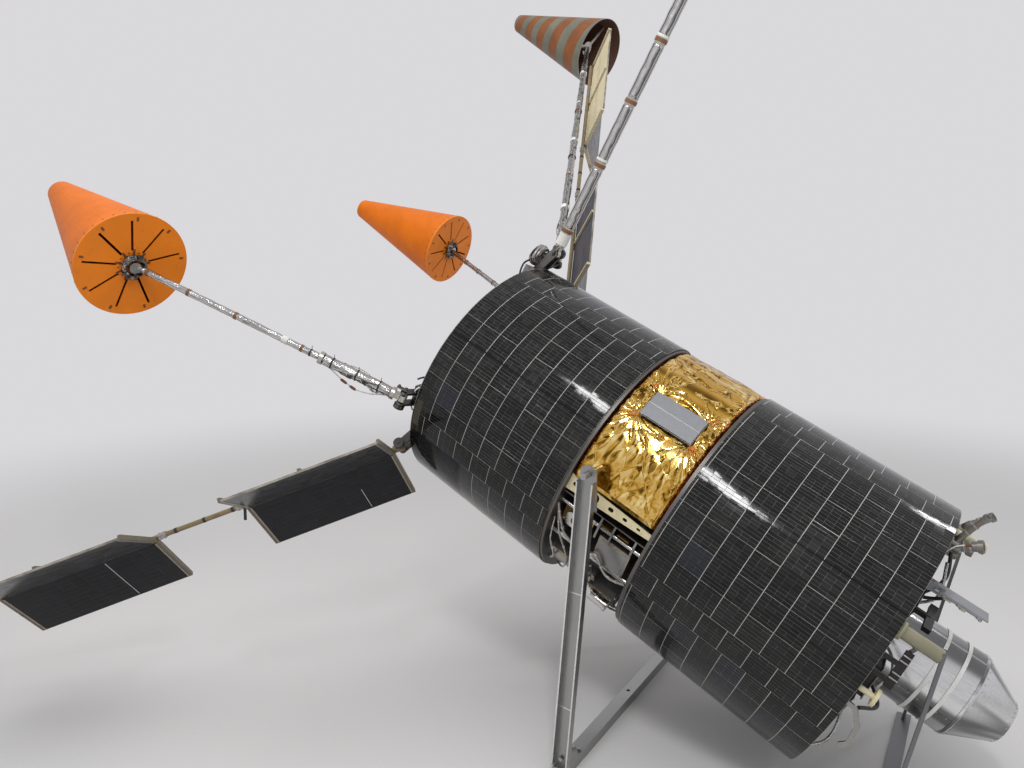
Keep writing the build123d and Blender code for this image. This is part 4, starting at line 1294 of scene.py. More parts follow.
@dataclass
class Bay:
    """The open equipment bay under the waist: boxes with lids, partitions, pipes and looms."""

    kit: Kit
    lids: tuple = ((-0.074, 192, 0.092, 0.064, 0.340, 0), (0.058, 196, 0.096, 0.084, 0.358, 1),
                   (-0.040, 220, 0.150, 0.074, 0.368, 3), (0.066, 228, 0.084, 0.084, 0.374, 2),
                   (-0.058, 250, 0.100, 0.096, 0.334, 1), (0.060, 262, 0.090, 0.110, 0.358, 3),
                   (-0.044, 290, 0.120, 0.110, 0.348, 2), (0.062, 302, 0.084, 0.084, 0.354, 0),
                   (0.000, 330, 0.190, 0.084, 0.342, 3))
    looms: tuple = (
        (0.0042, 0, ((-0.136, 0.372, 187), (-0.110, 0.377, 193), (-0.085, 0.366, 201), (-0.030, 0.360, 205),
                     (0.020, 0.372, 199), (0.070, 0.368, 207), (0.128, 0.372, 203))),
        (0.0030, 1, ((-0.134, 0.362, 196), (-0.120, 0.380, 207), (-0.100, 0.384, 216), (-0.122, 0.378, 228),
                     (-0.132, 0.366, 238))),
        (0.0026, 0, ((-0.132, 0.368, 190), (-0.095, 0.385, 199), (-0.060, 0.378, 212), (-0.070, 0.380, 226),
                     (-0.110, 0.372, 236))),
        (0.0034, 1, ((0.010, 0.374, 210), (0.022, 0.384, 217), (0.050, 0.386, 224), (0.092, 0.378, 231),
                     (0.124, 0.370, 238))),
        (0.0022, 2, ((-0.020, 0.372, 192), (0.004, 0.384, 200), (0.030, 0.378, 209), (0.012, 0.376, 219),
                     (-0.010, 0.372, 229))),
        (0.0040, 0, ((-0.132, 0.360, 244), (-0.090, 0.372, 252), (-0.020, 0.374, 262), (0.040, 0.376, 272),
                     (0.110, 0.366, 280))),
        (0.0030, 1, ((-0.120, 0.362, 262), (-0.060, 0.374, 270), (0.010, 0.372, 284), (0.090, 0.372, 296),
                     (0.126, 0.360, 306))),
        (0.0026, 2, ((0.126, 0.366, 212), (0.112, 0.386, 219), (0.102, 0.388, 228), (0.116, 0.380, 238))),
        (0.0034, 0, ((-0.126, 0.362, 318), (-0.050, 0.370, 322), (0.040, 0.368, 336), (0.124, 0.364, 344))))
    walls: tuple = ((-0.006, 180.6, 11.0), (0.036, 180.6, 10.0), (0.103, 180.6, 7.5))
    wall_parts: int = 6
    wall_r: float = 0.336
    wall_size: tuple = (0.0018, 0.345, 0.060)
    fold_at: tuple = (0.002, 0.0, 0.0305)
    fold_size: tuple = (0.0060, 0.366, 0.0014)
    braces: tuple = ((0.015, 183.6), (0.069, 183.2))
    brace_r: float = 0.345
    brace_size: tuple = (0.036, 0.0014, 0.046)
    lid_t: float = 0.0016
    lid_lap: float = 0.004
    lid_step: float = 0.016
    screw_in: float = 0.005

    def covers(self, finishes: Sequence[Finish]) -> None:
        """Build a lid with a turned edge on each box, and its screws."""
        shape, spots = Shape("box_lids"), []
        for u, turn, length, width, top, mark in self.lids:
            axes = DRUM.on_rim(u, top + self.lid_t / 2, turn)
            for height, grow in ((0.0, self.lid_lap), (self.lid_t, -self.lid_step)):
                shape.block(axes.moved(0, 0, height), (length + grow, width + grow, self.lid_t), mark)
            x, y = length / 2 - self.screw_in, width / 2 - self.screw_in
            spots += [(axes.at(sx * x, sy * y, self.lid_t / 2), axes.z)
                      for sx, sy in ((-1, -1), (-1, 1), (1, -1), (1, 1), (0, -1), (0, 1))]
        shape.finish(Body.BUS, Slot.DARK, finishes, bevel=0.0006)
        self.kit.screws("lid_screws", Body.BUS, 0.0030, 0.0022, 0.8, spots)

    def partitions(self, gold: Finish, rim: Finish) -> None:
        """Build the upright partitions behind the near bracket, with bright folded rims.

        Of each size, the middle number is the radius at which a part is as wide as its arc.

        Args:
            gold: finish of the braces.
            rim: finish of their rims.
        """
        shape = Shape("partitions")
        for u, turn, span in self.walls:
            for part in range(self.wall_parts):
                axes = DRUM.on_rim(u, self.wall_r, turn + span * (part + 0.5) / self.wall_parts)
                arc = math.radians(span / self.wall_parts)
                for at, (thick, radius, high), mark in (((0, 0, 0), self.wall_size, 2),
                                                        (self.fold_at, self.fold_size, 1)):
                    shape.block(axes.moved(*at), (thick, arc * radius, high), mark)
        for u, turn in self.braces:
            shape.block(DRUM.on_rim(u, self.brace_r, turn), self.brace_size, 0)
        shape.finish(Body.BUS, Slot.DARK, (gold, rim, self.kit.black))

    def wiring(self) -> None:
        """Build the looms and the rings that tie them."""
        shape = Shape("looms")
        ties = []
        for radius, mark, stops in self.looms:
            path = smooth_path([DRUM.rim(*stop) for stop in stops], 9)
            shape.tube(path, radius, 10, mark)
            ties += [(radius, path[i], (path[i + 1] - path[i - 1]).normalized())
                     for i in range(5, len(path) - 4, 9)]
        shape.finish(Body.BUS, Slot.STEEL, (self.kit.braid, self.kit.silver, self.kit.black), sharp=80)
        for number, radius in enumerate(sorted({tie[0] for tie in ties})):
            Row(f"loom_ties_{number}", Body.BUS, Slot.WHITE, radius + 0.0002, 0.0008, 1.0, 14).lay(
                self.kit.rings, self.kit.white, [(spot, way) for size, spot, way in ties if size == radius])

    def build(self) -> None:
        """Build the covers and wiring and finish the CAD pieces of the bay."""
        gold = Metal("gold lid", (0.55, 0.36, 0.10), 0.3, stain_share=0.5).build()
        grey = Metal("grey lid", (0.34, 0.34, 0.33), 0.4, stain_share=0.4).build()
        dark = Metal("dark lid", (0.085, 0.08, 0.075), 0.35, stain_share=0.3).build()
        self.covers((gold, grey, dark, Metal("steel lid", (0.42, 0.40, 0.37), 0.28).build()))
        self.partitions(gold, grey)
        self.wiring()
        dress(Paint("box paint", (0.045, 0.042, 0.04), (0.25, 0.22, 0.18)).build(), "bay_boxes")
        dress(Metal("pipe", (0.52, 0.51, 0.49), 0.25, stain_share=0.5).build(), "bay_pipes")
        dress(Metal("fitting", (0.66, 0.65, 0.62), 0.25, stain_share=0.4).build(), "bay_fittings")
        dress(Metal("bolt steel", (0.45, 0.45, 0.45), 0.3).build(), "trunnion_bolts")


# Booms, cones and mast


@dataclass(frozen=True)
class ConePlace:
    """A cone: the middle of its base, its line towards the tip, and its sizes."""

    name: str
    body: Body
    base: tuple
    way: tuple
    radius: float = 0.162
    tip: float = 0.044
    length: float = 0.568
    wall: float = 0.003
    sides: int = 120
    rings: int = 10
    slots: int = 9
    hub_size: tuple = (0.0215, 0.013, 0.009)
    hub_start: float = 0.0042
    hub_depth: float = 0.024
    hub_rings: int = 9
    hub_sides: int = 36
    strips: tuple = ((0.038, 0.026), (0.1445, 0.012))
    strip_z: float = 0.0044
    strip_size: tuple = (0.0065, 0.0008)
    screw_ring: float = 0.041
    screw_z: float = -0.004
    rivets: int = 32
    rivet_z: float = 0.012
    head: tuple = (0.0026, 0.0012, 0.6)
    rolled: float = 0.0060

    @property
    def slope(self) -> float:
        """Loss of radius along the cone."""
        return (self.radius - self.tip) / self.length

    def axes(self) -> Axes:
        """Axes of the cone in the row frame, z towards its tip."""
        start = DRUM.point(*self.base)
        return along_line(start, start + DRUM.way(*self.way))

    def shell(self, outside: Finish, inside: Finish, rim: Finish, slot: Slot) -> None:
        """Build the hollow cone with a rolled rim and a rounded tip."""
        shape, slope, axes = Shape(f"cone_{self.name}_skin"), self.slope, self.axes()
        outer = [(self.rolled, self.radius - self.rolled * slope)]
        outer += [(self.length * s / self.rings, self.radius - slope * self.length * s / self.rings)
                  for s in range(1, self.rings)]
        outer += [(self.length - 0.002, self.tip + slope * 0.002), (self.length, self.tip - 0.002),
                  (self.length, 0.0004)]
        inner = [(self.length - self.wall, 0.0004), (self.length - self.wall, self.tip - self.wall),
                 (0.001, self.radius - self.wall), (0.0, self.radius - self.wall + 0.0006)]
        lip = [inner[-1], (0.0, self.radius - 0.0008), (0.0008, self.radius), outer[0]]
        for mark, profile in enumerate((outer, inner, lip)):
            shape.lathe(axes, profile, self.sides, mark, closed=False)
        made = shape.finish(self.body, slot, (outside, inside, rim), sharp=30)
        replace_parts(made, f"cone_{self.name}_shell")

    def hub(self, kit: Kit) -> None:
        """Build the wad of film round the pole's end and the dark strips that lead to the slots."""
        axes, shape, folds = self.axes(), Shape(f"cone_{self.name}_hub"), Crumple(60.0, 9, 4, 0.8)
        least, bulge, rough = self.hub_size

        def place(i: int, j: int) -> Vector:
            """One point of the wad."""
            angle, share = math.tau * j / self.hub_sides, i / self.hub_rings
            wrinkle = folds.height(share * 0.05, angle * 0.02)
            radius = least + bulge * math.sin(math.pi * share) + rough * wrinkle
            return axes.at(radius * math.cos(angle), radius * math.sin(angle),
                           -self.hub_start - self.hub_depth * share)
        shape.grid(self.hub_rings + 1, self.hub_sides, place, 0, round_columns=True)
        for number in range(self.slots):
            angle = math.tau * number / self.slots
            out = axes.x * math.cos(angle) + axes.y * math.sin(angle)
            for radius, length in self.strips:
                middle = axes.at(0, 0, -self.strip_z) + out * radius
                shape.block(Axes(middle, out, axes.z.cross(out), axes.z), (length, *self.strip_size), 1)
        shape.finish(self.body, Slot.DARK, (kit.wad, kit.brown), sharp=25)

    def screws(self, kit: Kit) -> None:
        """Set screws round the hub and rivets round the skin."""
        axes, slope, ring = self.axes(), self.slope, self.screw_ring
        spots = []
        for number in range(self.slots):
            angle = math.tau * (number + 0.5) / self.slots
            spots.append((axes.at(ring * math.cos(angle), ring * math.sin(angle), self.screw_z), -axes.z))
        for number in range(self.rivets):
            angle, radius = math.tau * number / self.rivets, self.radius - self.rivet_z * slope
            out = (axes.x * math.cos(angle) + axes.y * math.sin(angle) + axes.z * slope).normalized()
            spots.append((axes.at(radius * math.cos(angle), radius * math.sin(angle), self.rivet_z), out))
        kit.screws(f"cone_{self.name}_screws", self.body, *self.head, spots, finish=kit.brown)


@dataclass(frozen=True)
class Pole:
    """A boom or the mast: its pivot, its line, and what is wound and clipped on it."""

    name: str
    body: Body
    pivot: tuple
    way: tuple
    side: tuple
    wraps: tuple
    copper: tuple
    white: tuple
    ties: tuple = ()
    rod: tuple = ()
    wires: tuple = ()
    tie_w: float = 0.005
    wire_r: float = 0.0014
    wire_rise: tuple = ((0.0, -0.001), (0.08, 0.003), (0.35, 0.008), (0.7, 0.007), (0.92, 0.003),
                        (1.0, -0.001))
    plug: tuple = (0.014, 0.0034)
    clamp: float = 0.010

    def axes(self) -> Axes:
        """Axes at the pivot: z along the pole, x towards its side direction."""
        start = DRUM.rim(*self.pivot)
        return along_line(start, start + DRUM.way(*self.way), DRUM.way(*self.side))

    def build(self, kit: Kit, skin: Finish) -> None:
        """Build the wound film, the taped bands, the ties and the thin rod beside the pole.

        Args:
            kit: the common finishes.
            skin: finish of the wound film.
        """
        axes, folds = self.axes(), Crumple(38.0, len(self.name), 5, 0.7)
        film, bands = Shape(f"{self.name}_film"), Shape(f"{self.name}_bands")
        for start, end, radius, lift in self.wraps:
            film.sleeve(axes, start, end, radius, lift, folds)
        film.finish(self.body, Slot.POLE, (skin,), sharp=22)
        for mark, rows in enumerate((self.copper, self.white)):
            for start, width, radius in rows:
                bands.band(axes, start, start + width, radius - 0.004, radius, mark)
        for start, radius in self.ties:
            bands.band(axes, start, start + self.tie_w, radius - 0.003, radius, 2)
            end = axes.at(radius + 0.009, 0.004, start + 0.006)
            bands.tube((axes.at(radius, 0, start + self.tie_w / 2), end), 0.0009, 6, 2)
        for start, end, depth, angle, twist, mark in self.wires:
            stops = [axes.at((depth + rise) * math.cos(angle + twist * share),
                             (depth + rise) * math.sin(angle + twist * share), start + (end - start) * share)
                     for share, rise in self.wire_rise]
            bands.tube(smooth_path(stops, 6), self.wire_r, 8, mark)
            plug_l, plug_r = self.plug
            bands.tube((stops[3], stops[3] + (stops[4] - stops[3]).normalized() * plug_l), plug_r, 10, 2)
        if self.rod:
            start, end, radius, x, y, clamps = self.rod
            bands.tube((axes.at(x, y, start), axes.at(x, y, end)), radius, 10, 3)
            for number in range(clamps):
                height = start + (end - start) * (number + 0.5) / clamps
                across = along_line(axes.at(x / 2, y / 2, height), axes.at(x, y, height), axes.z)
                bands.block(across, (self.clamp, self.clamp, math.hypot(x, y) + self.clamp), 3)
                low = axes.moved(x, y, height - self.clamp / 2)
                bands.band(low, 0.0, self.clamp, radius, radius + 0.0025, 2, 14)
        bands.finish(self.body, Slot.POLE, (kit.tape, kit.white, kit.black, kit.braid), sharp=40)


@dataclass
class Booms:
    """The three booms with their cones, wound film, bands and cables, the mast, and their roots."""

    kit: Kit
    cones: tuple = (
        ConePlace("near", Body.BOOM_NEAR, (-1.492, -0.848, 0.007), (-0.992, 0.124, -0.022)),
        ConePlace("far", Body.BOOM_FAR, (-1.554, 0.716, 0.075), (-0.996, -0.038, -0.084)),
        ConePlace("top", Body.BOOM_TOP, (-1.643, 1.464, 1.139), (-0.996, 0.089, -0.02)))
    poles: tuple = (
        Pole("near_pole", Body.BOOM_NEAR, (-0.705, 0.4323, 185.97), (-787, -418, 52), (0, 0, 1),
             ((0.038, 0.264, 0.0155, 0.0022), (0.278, 0.864, 0.0094, 0.0018)),
             ((0.836, 0.010, 0.0116), (0.703, 0.010, 0.0116), (0.548, 0.010, 0.0116), (0.331, 0.009, 0.0116)),
             ((0.381, 0.020, 0.0117),),
             ((0.304, 0.0122), (0.150, 0.0182), (0.076, 0.0182), (0.232, 0.0182)), (),
             ((0.050, 0.140, 0.0162, 3.6, 1.2, 3), (0.064, 0.205, 0.0162, 5.4, -1.4, 2),
              (0.112, 0.236, 0.0162, 0.6, 1.0, 3), (0.045, 0.105, 0.0162, 1.9, 2.0, 2))),
        Pole("far_pole", Body.BOOM_FAR, (-0.705, 0.4245, 15.02), (-849, 306, -35), (0, 0, 1),
             ((0.038, 0.264, 0.0155, 0.0022), (0.278, 0.874, 0.0094, 0.0018)),
             ((0.733, 0.010, 0.0116), (0.625, 0.010, 0.0116), (0.495, 0.010, 0.0116), (0.340, 0.009, 0.0116)),
             ((0.400, 0.020, 0.0117),), ((0.310, 0.0122), (0.150, 0.0182)), (),
             ((0.050, 0.140, 0.0162, 3.2, 1.2, 3), (0.064, 0.205, 0.0162, 5.0, -1.4, 2))),
        Pole("top_pole", Body.BOOM_TOP, (-0.700, 0.4511, 73.25), (-1025.7, 1341.4, 705.3), (0, 0, 1),
             ((0.060, 0.540, 0.0120, 0.0045), (0.548, 1.180, 0.0118, 0.0042), (1.188, 1.735, 0.0118, 0.0038)),
             ((0.540, 0.009, 0.0152), (1.100, 0.012, 0.0164)),
             ((1.180, 0.010, 0.0150), (0.300, 0.020, 0.0168), (0.820, 0.020, 0.0164), (1.500, 0.020, 0.0160)),
             ((0.690, 0.0166),),
             (0.090, 1.640, 0.0032, 0.0225, 0.0, 6),
             ((0.080, 0.250, 0.0140, 2.6, 1.4, 2), (0.130, 0.330, 0.0140, 4.4, -1.4, 3))),
        Pole("mast_pole", Body.MAST, (-0.676, 0.4605, 82.51), (0.055, 0, 0.998), (-1, 0, 0),
             ((0.096, 0.298, 0.0174, 0.0014), (0.324, 0.503, 0.0174, 0.0014),
              (0.529, 0.688, 0.0174, 0.0014), (0.714, 0.884, 0.0174, 0.0014), (0.910, 1.084, 0.0174, 0.0014),
              (1.110, 1.196, 0.0174, 0.0014)),
             ((0.0785, 0.012, 0.0198), (0.3060, 0.012, 0.0198), (0.5110, 0.012, 0.0198),
              (0.6960, 0.012, 0.0198), (0.8920, 0.012, 0.0198), (1.0920, 0.012, 0.0198)),
             ((0.034, 0.041, 0.0192), (0.326, 0.008, 0.0194), (0.710, 0.008, 0.0194))))
    stripes: tuple = (6.3, 4.4, 0.0)
    skein: tuple = (-0.727, 0.050, 0.426)
    strands: tuple = (1, 0, 1, 2, 1, 1, 2)
    strand_points: int = 72
    strand_turns: float = 2.1
    strip: tuple = ((-0.6835, 0.396, 180.0), (-0.690, 0.400, 181.5), (-0.694, 0.396, 183.4),
                    (-0.690, 0.380, 184.4))
    feet: tuple = ((186, 0.040), (15, 0.040), (80, 0.072), (221, 0.040), (40, 0.040))
    foot_deck: float = -0.666
    foot_r: float = 0.354
    foot_bolts: tuple = (0.024, 0.023)
    root_runs: tuple = (
        (0.0036, 0, ((-0.690, 0.330, 70), (-0.716, 0.366, 70), (-0.728, 0.392, 74), (-0.730, 0.406, 82))),
        (0.0032, 2, ((-0.690, 0.316, 92), (-0.722, 0.350, 94), (-0.734, 0.392, 92), (-0.736, 0.410, 86))),
        (0.0026, 1, ((-0.690, 0.330, 194), (-0.706, 0.352, 193), (-0.712, 0.376, 192), (-0.694, 0.384, 194))),
        (0.0028, 2, ((-0.690, 0.340, 176), (-0.704, 0.364, 177), (-0.708, 0.384, 178), (-0.694, 0.388, 176))),
        (0.0030, 2, ((-0.690, 0.330, 2), (-0.712, 0.362, 4), (-0.716, 0.384, 3), (-0.694, 0.388, 1))))

    def connectors(self) -> None:
        """Build the two brown connectors on the near boom's cable."""
        axes, shape = self.poles[0].axes(), Shape("cable_connectors")
        for first, second in (((0.191, 0.0186), (0.174, 0.0224)), ((0.158, 0.0258), (0.141, 0.0288))):
            start, end = (axes.at(-0.0173 - depth, 0, along) for along, depth in (first, second))
            way = (end - start).normalized()
            shape.tube((start - way * 0.003, start, start, end, end, end + way * 0.003),
                       (0.0028, 0.0030, 0.0044, 0.0044, 0.0030, 0.0028), 14)
        shape.finish(Body.BOOM_NEAR, Slot.CABLE, (self.kit.brown,))

    def looms(self) -> None:
        """Build the cable loops by the roots and the white strip by the near one."""
        kit, shape = self.kit, Shape("root_looms")
        for radius, mark, stops in self.root_runs:
            shape.tube(smooth_path([DRUM.rim(*stop) for stop in stops], 8), radius, 10, mark)
        centre, own = DRUM.point(*self.skein), DRUM.axes()
        for cable, mark in enumerate(self.strands):
            points = []
            for step in range(self.strand_points):
                turn = math.tau * (self.strand_turns * step / (self.strand_points - 1)
                                   + cable / len(self.strands))
                wave = turn * 0.61 + cable * 0.9
                ring = 0.021 + 0.012 * math.cos(wave) + 0.002 * math.sin(turn * 2.6 + cable)
                points.append(centre + own.y * ring * math.cos(turn) * 1.3 + own.z * ring * math.sin(turn)
                              + own.x * (0.013 * math.sin(wave) + 0.002 * math.sin(turn * 3.1)))
            shape.tube(points, 0.0032 + 0.0005 * (cable % 3), 8, mark)
        shape.tube(smooth_path([DRUM.rim(*stop) for stop in self.strip], 5), 0.0024, 8, 3)
        shape.finish(Body.BUS, Slot.STEEL, (kit.silver, kit.braid, kit.black, kit.white), sharp=80)

    def root_bolts(self) -> None:
        """Set a bolt at each corner of the feet and on each hinge cheek's pin."""
        way, spots, (half_y, half_z) = DRUM.way(-1, 0, 0), [], self.foot_bolts
        for turn, height in self.feet:
            axes = DRUM.on_rim(self.foot_deck - height, self.foot_r, turn)
            spots += [(axes.at(0, sy * half_y, sz * half_z), way) for sy in (-1, 1) for sz in (-1, 1)]
        self.kit.screws("root_bolts", Body.BUS, 0.0045, 0.0040, 1.0, spots, 6)

    def build(self) -> None:
        """Build the cones, finish the poles and roots, and rig them."""
        brown = Paint("brown lining", (0.085, 0.032, 0.016), (0.03, 0.02, 0.015), 0.5, 0.6).build()
        face = Paint("orange face", (0.80, 0.205, 0.0), (0.36, 0.07, 0.01), 0.3, 0.5, 90.0, shade=0.9).build()
        for cone in self.cones[:2]:
            orange = ConePaint(f"orange {cone.name}", cone.axes(), (0.74, 0.165, 0.002), (0.40, 0.07, 0.008))
            cone.shell(orange.build(), brown, face, Slot.ORANGE)
            dress(face, f"cone_{cone.name}_face")
            cone.hub(self.kit)
            cone.screws(self.kit)
        top = self.cones[2]
        stripes = SpiralStripes("stripes", top.axes(), *self.stripes).build()
        top.shell(stripes, brown, Metal("grey rim", (0.30, 0.29, 0.27), 0.4).build(), Slot.SPIRAL)
        pole = Metal("pole", (0.56, 0.54, 0.50), 0.3, stain=(0.22, 0.14, 0.08), stain_share=0.4)
        for placed in self.poles:
            # mast film: its facets carry a painted dark reflection
            streaked = Metal("mast film", (0.66, 0.65, 0.64), 0.26, placed.axes(), (42.0, 42.0, 1.2), 3.0,
                             (0.30, 0.28, 0.25), 0.4, 1.0, 2.0)
            placed.build(self.kit, streaked.build() if placed.body is Body.MAST else self.kit.silver)
        dress(pole.build(), "boom_near", "boom_far", "boom_top", "mast")
        # root steel: its facets carry a painted dark reflection
        root = Metal("root steel", (0.30, 0.29, 0.28), 0.3, stain=(0.05, 0.045, 0.04), stain_share=0.7,
                     painted_reflection=2.0)
        dress(root.build(), "boom_roots", "mast_root", "wing_roots")
        dress(Paint("white cable", (0.80, 0.79, 0.75), roughness=0.5).build(), "boom_cable")
        self.connectors()
        self.looms()
        self.root_bolts()


# Wings


@dataclass(frozen=True)
class WingPlace:
    """A wing: pivot (station, radius, turn), turn and spread of its spine, roll of its V."""

    name: str
    body: Body
    pivot: tuple
    turn: float
    spread: float
    roll: float
    half_v: float = math.radians(74)
    front: float = 0.0156
    joint: float = 0.0015
    width: float = 0.206
    thick: float = 0.007
    panels: tuple = ((0.035, 0.517), (0.831, 1.339))
    bars: tuple = (0.14, 0.115, 0.085)

    def axes(self) -> Axes:
        """Axes at the pivot: x in the middle of the V, z along the spine."""
        spread, turn = math.radians(self.spread), math.radians(self.turn)
        along = DRUM.way(-math.cos(spread), math.sin(spread) * math.cos(turn),
                         math.sin(spread) * math.sin(turn))
        pin = DRUM.way(0, -math.sin(turn), math.cos(turn))
        middle = along.cross(pin)
        rolled = Matrix.Rotation(math.radians(self.roll), 3, along)
        return Axes(DRUM.rim(*self.pivot), rolled @ middle, rolled @ (-pin), along)

    def on_panel(self, side: int, across: float, along: float, lift: float) -> Axes:
        """Axes on a panel's front face: x across it from the spine, y along it, z out of it."""
        axes, cos, sin = self.axes(), math.cos(self.half_v), math.sin(self.half_v)
        way = axes.x * cos + axes.y * side * sin
        out = axes.x * sin - axes.y * side * cos
        origin = axes.at(self.front, 0, along) + way * (self.joint + across) + out * lift
        return Axes(origin, way, axes.z, out)


@dataclass
class Wings:
    """The two folding wings of paired panels."""

    kit: Kit
    places: tuple = (WingPlace("near", Body.WING_NEAR, (-0.700, 0.423, 215.0), 227.5, 59.2, 0.0),
                     WingPlace("far", Body.WING_FAR, (-0.706, 0.427, 36.0), 45.8, 56.2, 7.0,
                               bars=(0.50, 0.44, 0.29)))
    boards: tuple = (("inner", (0.050, 0.052, 0.066)), ("outer", (0.70, 0.61, 0.40)))
    lines: tuple = ((0.180, 0.100, 0.198), (1.005, 0.008, 0.198))
    ferrules: tuple = (0.530, 0.792)
    ferrule: tuple = ((0.0, 0.028, 0.0104), (0.004, 0.010, 0.0118), (0.018, 0.024, 0.0118))
    rings: tuple = (0.565, 0.660, 0.755)
    strap_at: float = 0.522
    strap: tuple = (0.009, 0.0024, 0.048)
    strip_in: float = 0.003
    lift: float = 0.0003
    rivets: tuple = (0.012, 0.026, 8)

    def trim(self, place: WingPlace, strip: Finish) -> None:
        """Build the end strips and white cross lines of a wing's panels.

        Args:
            place: the wing.
            strip: finish of the end strips.
        """
        shape, spots, half = Shape(f"wing_{place.name}_trim"), [], place.width / 2
        first, pitch, count = self.rivets
        ends = [edge + sign * self.strip_in for span in place.panels for edge, sign in zip(span, (1, -1))]
        for side in (-1, 1):
            for at in ends:
                for lift in (self.lift, -place.thick - self.lift):
                    shape.block(place.on_panel(side, half, at, lift), (place.width - 0.004, 0.005, 0.0008), 0)
                out = place.on_panel(side, half, at, 0).z
                spots += [(place.on_panel(side, first + pitch * step, at, 2 * self.lift).origin, out)
                          for step in range(count)]
        for at, start, end in self.lines:
            middle = place.on_panel(-1, (start + end) / 2, at, self.lift)
            shape.block(middle, (end - start, 0.0016, 0.0008), 1)
        shape.finish(place.body, Slot.FRAME, (strip, self.kit.white))
        self.kit.screws(f"wing_{place.name}_rivets", place.body, 0.0024, 0.0010, 0.6, spots, 10)

    def spine(self, place: WingPlace) -> None:
        """Build the silver ferrules on the spine, their collars and the small hanging strap."""
        axes, shape = place.axes(), Shape(f"wing_{place.name}_ferrules")
        for at in self.ferrules:
            for start, end, outer in self.ferrule:
                shape.band(axes, at + start, at + end, 0.006, outer, 0)
        for at in self.rings:
            shape.band(axes, at, at + 0.010, 0.006, 0.0088, 1)
        low = axes.at(0, 0, self.strap_at) + Vector((0.0, -0.010, -0.026))
        hanging = Axes(low, Vector((0.8, 0.6, 0)), Vector((-0.6, 0.8, 0)), Vector((0.04, 0, 1)).normalized())
        shape.block(hanging, self.strap, 1)
        shape.finish(place.body, Slot.STEEL, (self.kit.screw, self.kit.black, self.kit.braid))

    def build(self) -> None:
        """Finish the panels and spines and build their trim."""
        strip = Metal("end strip", (0.40, 0.34, 0.27), 0.32, stain_share=0.6).build()
        for place in self.places:
            for part, board in self.boards:
                skin = WingSkin(f"wing {place.name} {part}", place.axes(), place.half_v, board)
                dress(skin.build(), f"wing_{place.name}_{part}")
            spine = SpinePaint(f"spine {place.name}", place.axes(), (0.20, 0.150, 0.075), place.bars)
            dress(spine.build(), f"wing_{place.name}_spine")
            self.trim(place, strip)
            self.spine(place)


# Canister and the gear of the lower deck


@dataclass
class Canister:
    """Polished canister with lapped seams, a cone end and two white straps."""

    kit: Kit
    radius: float = 0.118
    start: float = 0.680
    shoulder: float = 0.937
    end: float = 1.040
    end_radius: float = 0.056
    seams: tuple = (14.0, 104.0, 194.0, 284.0)
    bands: tuple = (0.690, 0.928)
    band_w: float = 0.008
    proud: float = 0.001
    sides: int = 128
    seam_middle: float = 0.809
    seam_size: tuple = (0.240, 0.008, 0.0008)
    seam_rivets: tuple = (-0.108, 0.024, 10)
    rounds: tuple = ((36, 0.942), (24, 1.034))
    end_rivets: int = 6
    end_ring: float = 0.046

    def axes(self) -> Axes:
        """Axes on the drum's line, z towards the canister's end."""
        own = DRUM.axes()
        return Axes(own.origin, -own.z, own.y, own.x)

    def spot(self, u: float, radius: float, turn: float) -> Vector:
        """Place round the canister."""
        angle = math.radians(turn)
        return self.axes().at(radius * math.cos(angle), radius * math.sin(angle), u)

    def out(self, turn: float) -> Vector:
        """Direction out of the canister at a turn."""
        return (self.spot(0, 1, turn) - self.spot(0, 0, turn)).normalized()

    def seam_trim(self, finish: Finish) -> None:
        """Build the raised bands and lengthwise seams, and their rivets."""
        shape, spots, own = Shape("canister_bands"), [], self.axes()
        inner, outer = self.radius - self.proud, self.radius + self.proud
        first, pitch, rivets = self.seam_rivets
        for start in self.bands:
            shape.band(own, start, start + self.band_w, inner, outer, 0, self.sides)
        for turn in self.seams:
            out = self.out(turn)
            axes = Axes(self.spot(self.seam_middle, self.radius, turn), own.z, out.cross(own.z), out)
            shape.block(axes, self.seam_size, 0)
            spots += [(axes.at(first + pitch * step, 0, self.seam_size[2] / 2), out)
                      for step in range(rivets)]
        lean = math.atan2(self.radius - self.end_radius, self.end - self.shoulder)
        for count, u in self.rounds:
            radius = self.radius - (u - self.shoulder) * math.tan(lean)
            for turn in (360 * step / count for step in range(count)):
                way = (self.out(turn) * math.cos(lean) + own.z * math.sin(lean)).normalized()
                spots.append((self.spot(u, radius, turn), way))
        spots += [(self.spot(self.end, self.end_ring, 30 + 360 / self.end_rivets * step), own.z)
                  for step in range(self.end_rivets)]
        shape.finish(Body.BUS, Slot.POLISHED, (finish,), sharp=25)
        self.kit.screws("canister_rivets", Body.BUS, 0.0019, 0.0008, 0.6, spots, 10, Slot.POLISHED)

    def build(self) -> None:
        """Build the canister and finish its straps."""
        shape = Shape("canister_skin")
        profile = [(self.start, 0.0005), (self.start, self.radius), (self.shoulder - 0.002, self.radius),
                   (self.shoulder, self.radius - 0.0006), (self.shoulder + 0.002, self.radius - 0.0018),
                   (self.end - 0.002, self.end_radius + 0.001), (self.end, self.end_radius - 0.001),
                   (self.end, 0.0005)]
        shape.lathe(self.axes(), profile, self.sides, 0, closed=False)
        # polished: its facets carry a painted dark reflection
        polished = Metal("polished", (0.74, 0.745, 0.75), 0.14, self.axes(), (8.0, 8.0, 1.0), 30.0,
                         (0.4, 0.4, 0.38), 0.2, 0.04, 1.1).build()
        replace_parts(shape.finish(Body.BUS, Slot.POLISHED, (polished,), sharp=20), "canister")
        self.seam_trim(polished)
        dress(Paint("white strap", (0.82, 0.82, 0.79), roughness=0.6).build(), "canister_straps")


